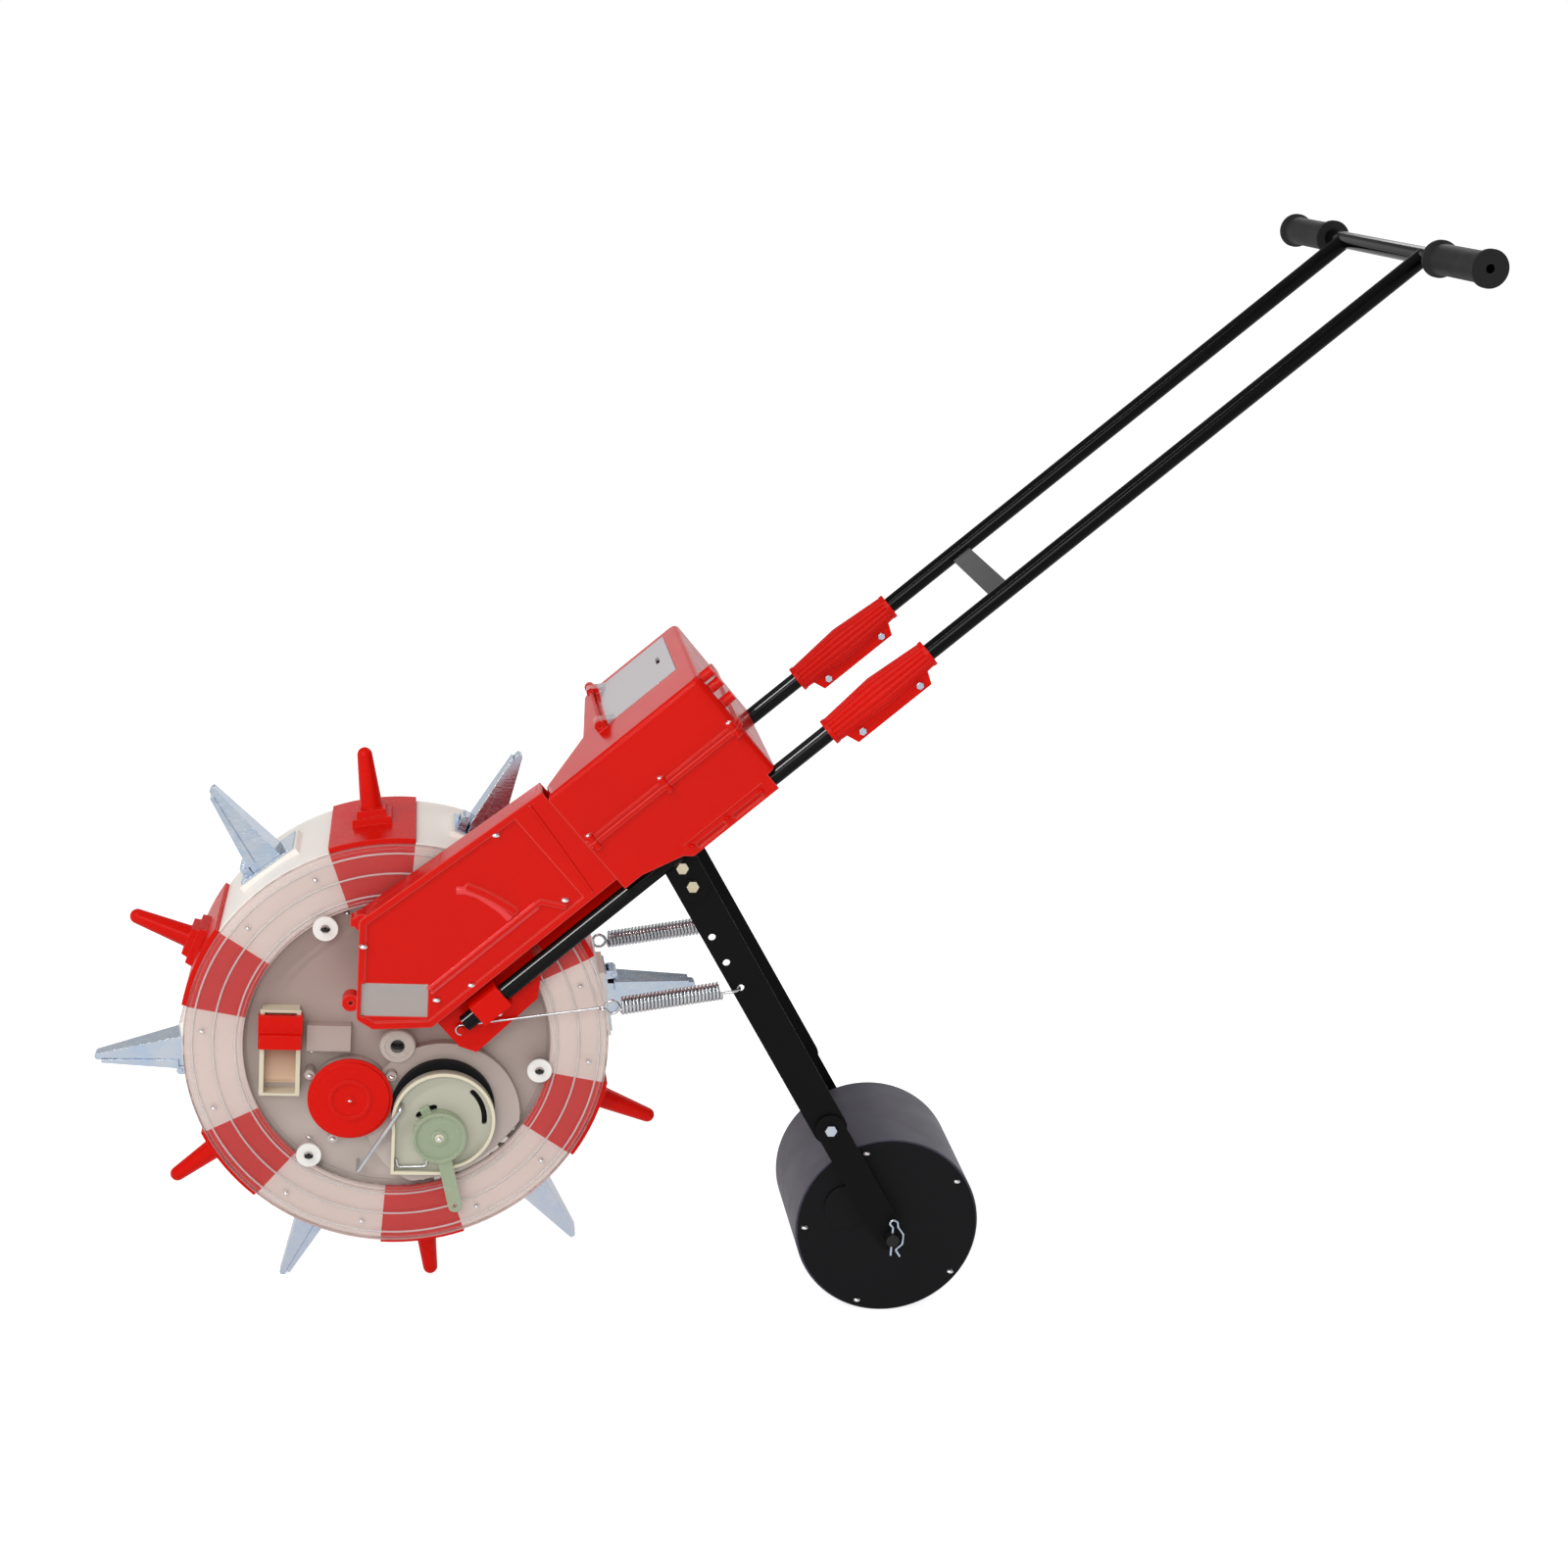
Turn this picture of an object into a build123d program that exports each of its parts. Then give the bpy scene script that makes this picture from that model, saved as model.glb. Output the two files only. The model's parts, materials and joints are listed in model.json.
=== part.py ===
"""Walk-behind seed planter with a duckbill drum, a seed hopper and a sprung press roller.

Every piece is drawn in the machine's side view: x runs back to the handle, y runs up, and z comes out
to the operator's left, all from the middle of the drum axle. keep() then stands the piece up in the
part's own frame: +X back, +Z up, and the origin on the ground below the middle of the machine.
"""

import os
from math import acos, asin, atan2, ceil, cos, degrees, dist, hypot, pi, radians, sin, sqrt, tan

from build123d import *

os.makedirs("parts", exist_ok=True)

# Clearances
SEAT_GAP = 0.15
RUN_FIT = 0.06
RUN_GAP = 0.3

# Drum
BILL_COUNT = 6
BILL_TIP_R = 285.0
BILL_REACH = 89.0
PEG_SHORT = 16.35
RIM_WALL = 5.0
SPACER_RISE = 4.0
SPACER_END = 5.0
SEAT_ANGLE = 37.0
SEAM = 0.5
FLANGE_T = 4.0
DRUM_HALF = 70.5
RING_BORE_R = 141.0
RING_INSET = 1.0
RING_T = 5.0
RING_LIP = 3.5
RING_LIP_HIGH = 2.0

# Duckbills
BILL_SHEET = 1.8
BILL_PAD_RISE = 3.0
BILL_PAD = (64.0, 62.0)
BILL_PLATE_HALF = (29.0, 27.0)
BILL_BACK = 14.0
BILL_FRONT = 16.0
BILL_HALF = 18.0
BILL_TIP_ROUND = 2.75
BILL_TIP_FILLET = 2.7
BILL_TIP_HALF = 6.5
FLAP_SHORT = 6.0
FLAP_GAP = 0.4
FLAP_LIP = 9.0
HINGE_RISE = 6.5
HINGE_OUT = 6.0
HINGE_R = 4.0
HINGE_PIN_R = 2.0
HINGE_PIN_PROUD = 1.0
KNUCKLE_HALF = 9.0
EAR_T = 3.0

# Pegs
PEG_FOOT = (38.0, 46.0, 6.0)
PEG_STEP = (28.0, 34.0, 6.0)
PEG_DRAFT = 8.0
PEG_BASE_R = 10.5
PEG_ROUND = 7.0

# Plates that stand still inside the drum
PLATE_GAP = 2.0
PLATE_SUNK = 8.5
PLATE_T = 4.0
PLATE_RIM = 5.0
HUB_R = 11.0
HUB_PROUD = 2.0
TIE_R = 6.0
TIE_PROUD = 12.0
TIE_HEAD_HIGH = 7.0
TIE_NUT_HIGH = 8.0
TIE_CORNER_R = 10.4
GUIDE_ANGLES = (121.0, -126.0, -8.5)
GUIDE_TREAD_R = 7.2
GUIDE_OVERLAP = 1.5
GUIDE_FLANGE_R = 11.5
GUIDE_FLANGE_T = 2.8
GUIDE_BOSS_R = 4.0

# Gear pair
RING_TEETH = 70
GEAR_TEETH = 31
MODULE = 4.2
BACKLASH = 0.9
PRESSURE_ANGLE = 20.0
TOOTH_TOP = 0.95
RING_TOOTH_TOP = 0.85
TOOTH_ROOT = 1.15
RING_GEAR_WALL = 8.7
GEAR_BEARING = -57.5
GEAR_STAND = 2.3
GEAR_T = 5.5
GEAR_HUB_R = 14.0
GEAR_HUB_ROOM = 1.0
GEAR_ROOM = 1.0
GEAR_COVER_T = 2.2
GEAR_COVER_WALL = 2.0

# Seed roller and its box
STUD_R = 5.0
STUD_HEAD_HIGH = 4.0
ROLLER_CELLS = 5
SEED_ROLLER_R = 26.0
SEED_ROLLER_START = 12.0
CELL_R = 6.0
BOX_WALL = 3.0
BOX_HUB_GAP = 1.5
BOX_KNEE = 59.0
OUTLET_DEEP = 18.0

# Rate disc, its housing and the lever
RATE_DISC_AT = (44.0, -60.0)
RATE_DISC_R = 48.0
RATE_DISC_T = 6.7
HOUSING_AT = (44.7, -68.5)
HOUSING_R = 48.0
HOUSING_LEG = (54.5, 53.5)
HOUSING_LEG_AT = (24.75, -95.25)
HOUSING_DEEP = 10.0
HOUSING_FLOOR = 4.0
HOUSING_WALL = 3.0
RATE_SLOT = (38.0, -3.0, 47.0, 5.0)
LEVER_AT = (41.4, -82.6)
LEVER_POST_R = 4.0
LEVER_HUB_R = 24.8
LEVER_HUB_RIM = 3.0
LEVER_HUB_PROUD = 1.7
LEVER_T = 4.0
LEVER_WIDE = 13.0
LEVER_REACH = 70.5
LEVER_HOLE_R = 2.2
LEVER_BEARING = -76.0
LEVER_SWING = 18.0
TAB_BEARING = 120.0
TAB_REACH = 31.0
TAB_WIDE = 9.0
TAB_PIN_AT = 26.5
TAB_PIN_R = 2.5

# Seed cover, gate and the block beside it
COVER_AT = (-42.0, -50.0)
COVER_R = 39.0
COVER_STEP = 2.0
COVER_RISE = 18.0
COVER_T = 3.0
COVER_CROWN = 2.0
COVER_CROWN_DRAFT = 30.0
COVER_RIDGE = (19.5, 3.0, 1.5)
COVER_DOT_R = 4.0
COVER_EAR = 4.5
COVER_EAR_R = 43.4
COVER_EARS = (150.0, 30.0, -110.0)
GATE_AT = (-107.0, 14.0)
GATE_SIZE = (40.0, 32.0)
GATE_T = 5.0
GATE_GRIP = 5.0
GATE_GRIP_DRAFT = 15.0
GATE_HOOK = 2.0
POCKET = (34.0, 84.0)
POCKET_LOW = -50.0
POCKET_WALL = 2.5
POCKET_DEEP = 16.0
POCKET_LIP = (1.5, 3.0)
BLOCK = (40.0, 25.0, 14.0)
BLOCK_AT = (-63.0, 6.5)

# Frame tubes
RAIL_ANGLE = 42.32
RAIL_DROP = 14.5
TUBE_R = 8.0
TUBE_WALL = 1.2
TUBE_STAND = 5.7
TUBE_START = 68.0
TUBE_GAP = 2.0
HANDLE_AT = 1173.0
BAR_HALF = 252.0
BRACE_ABOVE = 143.0
BRACE = (20.0, 3.0)
GRIP_R = 13.5
GRIP_COLLAR_R = 16.5
GRIP_LONG = 115.0
GRIP_END = 2.5
GRIP_COLLAR = 9.0
GRIP_HOLE_R = 4.0

# Clamp sleeves
SPLIT_BEHIND = 115.0
CLAMP_LONG = 116.0
CLAMP_END_R = 12.0
CLAMP_MID_R = 16.5
CLAMP_RIDGES = 7
CLAMP_FLUTE = 1.3
CLAMP_LIP = (13.0, 4.0)
CLAMP_SCREW_REACH = 33.0
CLAMP_EAR = 23.0
CLAMP_EAR_T = 7.0
CLAMP_EAR_RUN = (7.0, 16.0)
CLAMP_SCREW_DROP = 17.0
CLAMP_SCREW_R = 2.0
CLAMP_HEAD_R = 3.6
CLAMP_HEAD_HIGH = 2.4

# Drum brackets, measured along the tubes and square to them
BRACKET_CLEAR = 8.5
BRACKET_T = 5.0
BRACKET_FRONT = (46.5, -32.5)
BRACKET_TOE = (55.0, -47.4)
BRACKET_HEEL = (131.0, -43.6)
BRACKET_TAIL = (148.0, -28.0)
BRACKET_BACK = 160.0
BRACKET_POSTS = ((52.0, -5.0), (60.0, -27.0), (118.0, -12.0))
BRACKET_POST_R = 6.0
STRAP_SPAN = (83.0, 114.0)
STRAP_FOOT = (-13.0, 18.0)
STRAP_TOP_HALF = 11.0
STRAP_WALL = 3.5

# Hopper, measured along the tubes and square to them
HOPPER_CLEAR = 37.0
HOPPER_LONG = 116.0
MOUTH_REACH = 59.0
MOUTH_CORNER = 2.0
NECK_REACH = 12.0
NECK_IN = 16.0
HOPPER_COVER = 3.3
HOPPER_TOP = 105.0
HOPPER_SEAM = 47.0
HOPPER_WALL = 3.0
HOPPER_CORNER = 9.0
HOPPER_EDGE = 5.0
SEAM_RIB = (2.5, 4.0)
HOPPER_BOSS_INSETS = (7.0, 31.0, 6.0)
HOPPER_BOSS_R = 3.6
HOPPER_BOSS_OUT = 2.0
HOPPER_BOSS_LONG = 8.0
KNOB_R = 5.0
KNOB_LONG = 12.0
KNOB_IN = 16.0
KNOB_HEIGHTS = (68.0, 85.5, 98.0)
LID_INSETS = (15.0, 17.0)
LID_SIDES = (-101.0, 41.0)
LID_T = 3.0
LID_LEDGE = 7.0
LID_PIN_R = 2.0
LID_KNUCKLE_R = 4.4
LID_KNUCKLE_LONG = 16.0
LID_EAR = 6.5
LID_EAR_R = 5.0
LID_SLIT = (4.0, 22.0)
SKIRT_LOW = -23.0
SKIRT_FRONT = 8.0
SKIRT_STEP = (60.0, -16.6)
SKIRT_FOOT = 67.0
SKIRT_SLOTS = ((57.0, 24.5), (99.0, 67.0))
SKIRT_SLOT_HIGH = 5.0
SKIRT_SLOT_DEEP = 2.0

# Chute
CHUTE_CLEAR = 2.5
CHUTE_DEEP = 32.0
CHUTE_WALL = 2.5
CHUTE_FRONT_X = -38.0
CHUTE_HEEL = 40.0
CHUTE_TOE = (-23.0, 31.0)
CHUTE_LOW_U = 45.0
CHUTE_CORNER = 6.0
CHUTE_TOP_LEFT = 134.0
CHUTE_TOP_V = 112.0
CHUTE_LOW_V = 5.0
CHUTE_BORDER = 6.5
CHUTE_RELIEF = 2.5
COLLAR_WIDE = 34.0
ARC_RIDGE = (175.0, 56.0, 15.0, 6.5)
LEDGE = ((68.0, 33.0), (197.0, 33.0), (211.0, 14.0))
LEDGE_WIDE = 4.0
CHUTE_EARS = ((-35.6, 132.0), (-43.5, 55.0))
CHUTE_EAR_R = 8.0
CHUTE_EAR_HOLE_R = 2.0
CHUTE_APRON = (163.0, -17.0, 5.0)
THROAT = (52.0, 24.0)
THROAT_AT = (-4.0, 60.0)
WINDOW = (60.0, 31.0)
WINDOW_AT = (-4.5, 59.0)

# Press roller and its arms
ROLLER_X = 476.1
ROLLER_R = 89.6
ROLLER_WALL = 5.0
ROLLER_HALF = 76.5
END_DISC_INSET = 2.1
END_DISC_T = 3.0
PLUG_R = 21.0
PLUG_AT = (-42.0, 22.0)
PLUG_RIM = 2.5
AXLE_R = 8.0
AXLE_END_R = 6.0
AXLE_END = 5.0
SPACER_TUBE_R = 12.0
SPLIT_PIN_OUT = 5.4
SPLIT_PIN_R = 1.5
PIVOT_U = 313.2
PIVOT_DROP = 6.5
ARM_WIDE = 33.0
ARM_T = 3.2
ARM_JOINT = 300.0
ARM_HOLES = (75.0, 103.7, 132.3)
ARM_HOLE_R = 3.5
ARM_HOLE_SIDE = 8.0
LUG_WIDE = 31.0
STRIP_WIDE = 28.0
BOLT_R = 4.0
BOLT_HEAD_R = 5.8
BOLT_HEAD_HIGH = 5.0
STOP_AT = 20.3
STOP_SWING = 24.0

# Tension springs
SPRING_R = 7.3
SPRING_WIRE_R = 1.6
SPRING_TURNS = 22
SPRING_PITCH = 4.2
SPRING_ANCHOR = (57.0, 25.0)
ANCHOR_R = 3.5
ANCHOR_LONG = 6.5
SPRING_TAIL = 3.0
SPRING_LEAD = 6.0
SPRING_POINTS = 1600

# Sizes of the drum that follow from those
rim_r = BILL_TIP_R - BILL_REACH
spacer_r = rim_r + SPACER_RISE
peg_tip_r = BILL_TIP_R - PEG_SHORT
bill_pad_r = rim_r + BILL_PAD_RISE
ring_r = rim_r - RING_INSET
ring_face = DRUM_HALF + RING_T
ring_lip_face = ring_face + RING_LIP_HIGH
gear_pitch_r = MODULE * GEAR_TEETH / 2
ring_pitch_r = MODULE * RING_TEETH / 2
ring_root_r = ring_pitch_r + TOOTH_ROOT * MODULE
ring_gear_r = ring_root_r + RING_GEAR_WALL
flange_r = ring_gear_r + SEAM
plate_r = RING_BORE_R - PLATE_GAP
plate_face = DRUM_HALF - PLATE_SUNK
plate_back = plate_face - PLATE_T
hub_face = plate_face + HUB_PROUD

# Places of the frame, the chute and the hopper, outwards from the drum's side and back from its tips
bracket_back = ring_lip_face + BRACKET_CLEAR
bracket_face = bracket_back + BRACKET_T
tube_at = bracket_face + TUBE_STAND + TUBE_R
tube_bore_r = TUBE_R - TUBE_WALL
chute_inner = ring_lip_face + CHUTE_CLEAR
chute_join = chute_inner + CHUTE_DEEP / 2
chute_face = chute_inner + CHUTE_DEEP
hopper_half = tube_at + TUBE_R + HOPPER_COVER
hopper_front = BILL_TIP_R + HOPPER_CLEAR
hopper_back = hopper_front + HOPPER_LONG
mouth_u = hopper_front - MOUTH_REACH
lid_span = (hopper_front + LID_INSETS[0], hopper_back - LID_INSETS[1])
tube_split = hopper_back + SPLIT_BEHIND
clamp_span = (tube_split - CLAMP_LONG / 2, tube_split + CLAMP_LONG / 2)
brace_at = tube_split + BRACE_ABOVE
pivot_v = -RAIL_DROP - TUBE_R - PIVOT_DROP

# Where the drum stands: one bill and the next peg touch the ground together
half_step = 180 / BILL_COUNT
bill_core = BILL_TIP_R - BILL_TIP_ROUND
peg_core = peg_tip_r - PEG_ROUND
side_pull = peg_core * sin(radians(half_step))
up_pull = bill_core - peg_core * cos(radians(half_step))
bill_lean = acos((PEG_ROUND - BILL_TIP_ROUND) / hypot(side_pull, up_pull)) - atan2(side_pull, up_pull)
ground = bill_core * cos(bill_lean) + BILL_TIP_ROUND
bill_start = -90 - degrees(bill_lean)
bill_step = 360 / BILL_COUNT

# Directions along the frame tubes
rail_turn = radians(RAIL_ANGLE)
along = (cos(rail_turn), sin(rail_turn), 0)
square = (-sin(rail_turn), cos(rail_turn), 0)
RAIL = Plane((0, 0, 0), x_dir=along, z_dir=(0, 0, 1))
PLAN = Plane((0, 0, 0), x_dir=along, z_dir=square)


def on_rail(u, v):
    """Side-view point u along the tubes and v square to them."""
    return (u * along[0] + v * square[0], u * along[1] + v * square[1])


# The part's own origin: on the ground, under the middle of the machine's length
bills = [bill_start + bill_step * k for k in range(BILL_COUNT)]
front_reach = max(-bill_core * cos(radians(a)) for a in bills) + BILL_TIP_ROUND
handle_x, handle_y = on_rail(HANDLE_AT, -RAIL_DROP)
back_reach = handle_x + GRIP_COLLAR_R
STAND = Plane(((front_reach - back_reach) / 2, 0, ground), x_dir=(1, 0, 0), z_dir=(0, -1, 0))


def keep(piece, name):
    """Stand a finished piece up in the part's frame and write it as one named node."""
    solid = piece.part.moved(STAND.location)
    solid.label = name
    export_step(solid, f"parts/{name}.step")


def meridian(angle):
    """Plane through the drum axle: x outwards at the angle, y along the axle."""
    turn = radians(angle)
    return Plane((0, 0, 0), x_dir=(cos(turn), sin(turn), 0), z_dir=(sin(turn), -cos(turn), 0))


def side(z):
    """Side-view plane, z out from the middle of the machine."""
    return Plane.XY.offset(z)


# Rim segments
seam_angle = degrees(SEAM / rim_r)
seat_span = SEAT_ANGLE - seam_angle
spacer_span = bill_step - SEAT_ANGLE - seam_angle
end_angle = degrees(SPACER_END / rim_r)
inner_half = DRUM_HALF - FLANGE_T
from_inside = (Align.MIN, Align.CENTER)

with BuildPart() as seat:
    with BuildSketch(meridian(-seat_span / 2)):
        with Locations((flange_r, 0)):
            Rectangle(rim_r - flange_r, 2 * DRUM_HALF, align=from_inside)
            Rectangle(rim_r - RIM_WALL - flange_r, 2 * inner_half, align=from_inside, mode=Mode.SUBTRACT)
    revolve(axis=Axis.Z, revolution_arc=seat_span)
    with BuildSketch(Plane.YZ.offset(bill_pad_r)):
        Rectangle(*BILL_PAD)
    extrude(amount=rim_r - RIM_WALL - bill_pad_r)
    with BuildSketch(Plane.YZ.offset(bill_pad_r)):
        with Locations(((BILL_FRONT - BILL_BACK) / 2, 0)):
            Rectangle(BILL_FRONT + BILL_BACK - 2 * BILL_SHEET, 2 * (BILL_HALF - BILL_SHEET))
    extrude(amount=-bill_pad_r / 2, mode=Mode.SUBTRACT)

with BuildPart(Plane.XY) as bill_seats:
    with PolarLocations(0, BILL_COUNT, start_angle=bill_start):
        add(seat.part)
keep(bill_seats, "bill_seats")

peg_foot_top = spacer_r + PEG_FOOT[2]
peg_step_top = peg_foot_top + PEG_STEP[2]
peg_centre = peg_tip_r - PEG_ROUND
peg_run = peg_centre - peg_step_top
peg_touch = atan2(peg_run, PEG_BASE_R) + asin(PEG_ROUND / hypot(peg_run, PEG_BASE_R))
peg_shoulder = (peg_centre + PEG_ROUND * cos(peg_touch), PEG_ROUND * sin(peg_touch))

with BuildPart() as spacer:
    with BuildSketch(meridian(-spacer_span / 2)):
        with Locations((flange_r, 0)):
            Rectangle(spacer_r - flange_r, 2 * DRUM_HALF, align=from_inside)
    revolve(axis=Axis.Z, revolution_arc=spacer_span)
    with BuildSketch(meridian(-spacer_span / 2 + end_angle)):
        with Locations((flange_r - RIM_WALL, 0)):
            Rectangle(spacer_r - flange_r, 2 * inner_half, align=from_inside)
    revolve(axis=Axis.Z, revolution_arc=spacer_span - 2 * end_angle, mode=Mode.SUBTRACT)
    with BuildSketch(Plane.YZ.offset(spacer_r - RIM_WALL / 2)):
        Rectangle(PEG_FOOT[0], PEG_FOOT[1])
    extrude(amount=PEG_FOOT[2] + RIM_WALL / 2, taper=PEG_DRAFT)
    with BuildSketch(Plane.YZ.offset(peg_foot_top)):
        Rectangle(PEG_STEP[0], PEG_STEP[1])
    extrude(amount=PEG_STEP[2], taper=PEG_DRAFT)
    with BuildSketch(Plane.XY):
        with BuildLine():
            Polyline((peg_tip_r, 0), (peg_step_top, 0), (peg_step_top, PEG_BASE_R), peg_shoulder)
            ThreePointArc(
                peg_shoulder,
                (peg_centre + PEG_ROUND * cos(peg_touch / 2), PEG_ROUND * sin(peg_touch / 2)),
                (peg_tip_r, 0),
            )
        make_face()
    revolve(axis=Axis.X)

with BuildPart(Plane.XY) as spacers:
    with PolarLocations(0, BILL_COUNT, start_angle=bill_start + half_step):
        add(spacer.part)
keep(spacers, "spacers")

# Clear side rings
with BuildPart() as left_ring:
    with BuildSketch(meridian(0)):
        with Locations((RING_BORE_R, DRUM_HALF)):
            Rectangle(ring_r - RING_BORE_R, RING_T, align=Align.MIN)
            Rectangle(RING_LIP, RING_T + RING_LIP_HIGH, align=Align.MIN)
        with Locations((ring_r, DRUM_HALF)):
            Rectangle(RING_LIP, RING_T + RING_LIP_HIGH / 2, align=(Align.MAX, Align.MIN))
    revolve(axis=Axis.Z)
keep(left_ring, "left_ring")

with BuildPart() as right_ring:
    mirror(left_ring.part, about=Plane.XY)
keep(right_ring, "right_ring")


# Duckbills, each drawn pointing along x with its flap on the +y side
bill_foot = bill_pad_r + BILL_SHEET
bill_long = BILL_TIP_R - bill_foot


def taper(at_foot, at_tip, r):
    """Size that runs straight from the bill's foot to its tip, at the distance r from the axle."""
    return at_foot + (at_tip - at_foot) * (r - bill_foot) / bill_long


def bill_front(r):
    """Front face of the bill's fixed half at the distance r from the axle."""
    return taper(BILL_FRONT, BILL_TIP_ROUND, r)


def bill_half(r):
    """Half the width of the bill's fixed half at the distance r from the axle."""
    return taper(BILL_HALF, BILL_TIP_HALF, r)


def wedge(low, high, back, front, half, tip_round=0):
    """Flat-sided solid along the bill; back, front and half are functions of the distance."""
    with BuildPart() as solid:
        with BuildSketch(Plane.XY) as profile:
            with BuildLine():
                Polyline(
                    (low, back(low)), (high, back(high)), (high, front(high)), (low, front(low)), close=True
                )
            make_face()
            if tip_round:
                fillet(profile.vertices().group_by(Axis.X)[-1], tip_round)
        extrude(amount=2 * BILL_HALF, both=True)
        with BuildSketch(Plane.XZ):
            with BuildLine():
                Polyline(
                    (low, -half(low)), (high, -half(high)), (high, half(high)), (low, half(low)), close=True
                )
            make_face()
        extrude(amount=4 * BILL_FRONT, both=True, mode=Mode.INTERSECT)
    return solid.part


hinge_r = bill_foot + HINGE_RISE
hinge_t = BILL_FRONT + HINGE_OUT
ear_at = KNUCKLE_HALF + RUN_GAP
pin_half = ear_at + EAR_T + HINGE_PIN_PROUD

with BuildPart() as fixed_bill:
    add(
        wedge(
            bill_foot,
            BILL_TIP_R,
            lambda r: -taper(BILL_BACK, BILL_TIP_ROUND, r),
            bill_front,
            bill_half,
            BILL_TIP_FILLET,
        )
    )
    hollow = wedge(
        bill_foot - BILL_SHEET,
        BILL_TIP_R - 4 * BILL_SHEET,
        lambda r: BILL_SHEET - taper(BILL_BACK, BILL_TIP_ROUND, r),
        lambda r: bill_front(r) + BILL_FRONT,
        lambda r: bill_half(r) - BILL_SHEET,
    )
    add(hollow, mode=Mode.SUBTRACT)
    with BuildSketch(Plane.YZ.offset(bill_pad_r)):
        Rectangle(2 * BILL_PLATE_HALF[0], 2 * BILL_PLATE_HALF[1])
        with Locations(((BILL_FRONT - BILL_BACK) / 2, 0)):
            Rectangle(
                BILL_FRONT + BILL_BACK - 2 * BILL_SHEET, 2 * (BILL_HALF - BILL_SHEET), mode=Mode.SUBTRACT
            )
    extrude(amount=BILL_SHEET)
    with BuildSketch(side(ear_at)) as ear:
        with Locations((hinge_r, hinge_t)):
            Circle(HINGE_R)
        with Locations((bill_pad_r, hinge_t)):
            Rectangle(hinge_r - bill_pad_r, 2 * HINGE_R, align=from_inside)
        with Locations((hinge_r, hinge_t)):
            Circle(HINGE_PIN_R, mode=Mode.SUBTRACT)
    extrude(amount=EAR_T)
    extrude(ear.sketch.mirror(Plane.XY), amount=EAR_T, dir=(0, 0, -1))

with BuildPart(Plane.XY) as fixed_bills:
    with PolarLocations(0, BILL_COUNT, start_angle=bill_start):
        add(fixed_bill.part)
keep(fixed_bills, "fixed_bills")

with BuildPart(Plane.XY) as hinge_pins:
    with PolarLocations(0, BILL_COUNT, start_angle=bill_start):
        with Locations((hinge_r, hinge_t)):
            Cylinder(HINGE_PIN_R, 2 * pin_half)
keep(hinge_pins, "hinge_pins")

flap_start = hinge_r
flap_end = BILL_TIP_R - FLAP_SHORT


def flap_front(r):
    """Front face of the flap at the distance r, over the fixed half with a gap."""
    return bill_front(r) + FLAP_GAP + BILL_SHEET


with BuildPart() as flap:
    add(
        wedge(
            flap_start,
            flap_end,
            lambda r: flap_front(r) - taper(FLAP_LIP, FLAP_LIP / 3, r),
            flap_front,
            lambda r: bill_half(r) + FLAP_GAP + BILL_SHEET,
        )
    )
    inside = wedge(
        flap_start - BILL_SHEET,
        flap_end + BILL_SHEET,
        lambda r: flap_front(r) - 2 * FLAP_LIP,
        lambda r: bill_front(r) + FLAP_GAP,
        lambda r: bill_half(r) + FLAP_GAP,
    )
    add(inside, mode=Mode.SUBTRACT)
    with BuildSketch(side(-KNUCKLE_HALF)):
        with Locations((hinge_r, hinge_t)):
            Circle(HINGE_R)
        leaf_front = bill_front(hinge_r) + FLAP_GAP
        with Locations((hinge_r, leaf_front)):
            Rectangle(HINGE_R, hinge_t - leaf_front, align=Align.MIN)
        with Locations((hinge_r, hinge_t)):
            Circle(HINGE_PIN_R + RUN_FIT, mode=Mode.SUBTRACT)
    extrude(amount=2 * KNUCKLE_HALF)

for number, angle in enumerate(bills, start=1):
    with BuildPart(Plane.XY.rotated((0, 0, angle))) as turned_flap:
        add(flap.part)
    keep(turned_flap, f"flap_{number}")


# Ring gear on the drum and the metering gear inside it
gear_turn = radians(GEAR_BEARING)
gear_reach = ring_pitch_r - gear_pitch_r
gear_at = (gear_reach * cos(gear_turn), gear_reach * sin(gear_turn))
gear_top_r = gear_pitch_r + TOOTH_TOP * MODULE
gear_root_r = gear_pitch_r - TOOTH_ROOT * MODULE
gear_back = plate_face + GEAR_STAND
gear_face = gear_back + GEAR_T
tooth_wide = (pi * MODULE - BACKLASH) / 2
flank = tan(radians(PRESSURE_ANGLE))


def tooth_corners(teeth, pitch_r, root_r, crest_r, lean, start):
    """Corner points round a gear with straight flanks, which narrow outwards where lean is positive."""
    corners = []
    for k in range(teeth):
        middle = start + 2 * pi * k / teeth
        for r, hand in ((root_r, -1), (crest_r, -1), (crest_r, 1), (root_r, 1)):
            half_angle = (tooth_wide / 2 - (r - pitch_r) * lean) / r
            corners.append((r * cos(middle + hand * half_angle), r * sin(middle + hand * half_angle)))
    return corners


ring_crest_r = ring_pitch_r - RING_TOOTH_TOP * MODULE
ring_start = gear_turn + pi / RING_TEETH
with BuildPart() as ring_gear:
    with BuildSketch(side(gear_back)):
        Circle(ring_gear_r)
        with BuildLine():
            Polyline(
                *tooth_corners(RING_TEETH, ring_pitch_r, ring_root_r, ring_crest_r, -flank, ring_start),
                close=True,
            )
        make_face(mode=Mode.SUBTRACT)
    extrude(amount=DRUM_HALF - gear_back)
keep(ring_gear, "ring_gear")


def meter_side(z):
    """Side-view plane with its middle on the metering stud."""
    return Plane((gear_at[0], gear_at[1], z))


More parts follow.
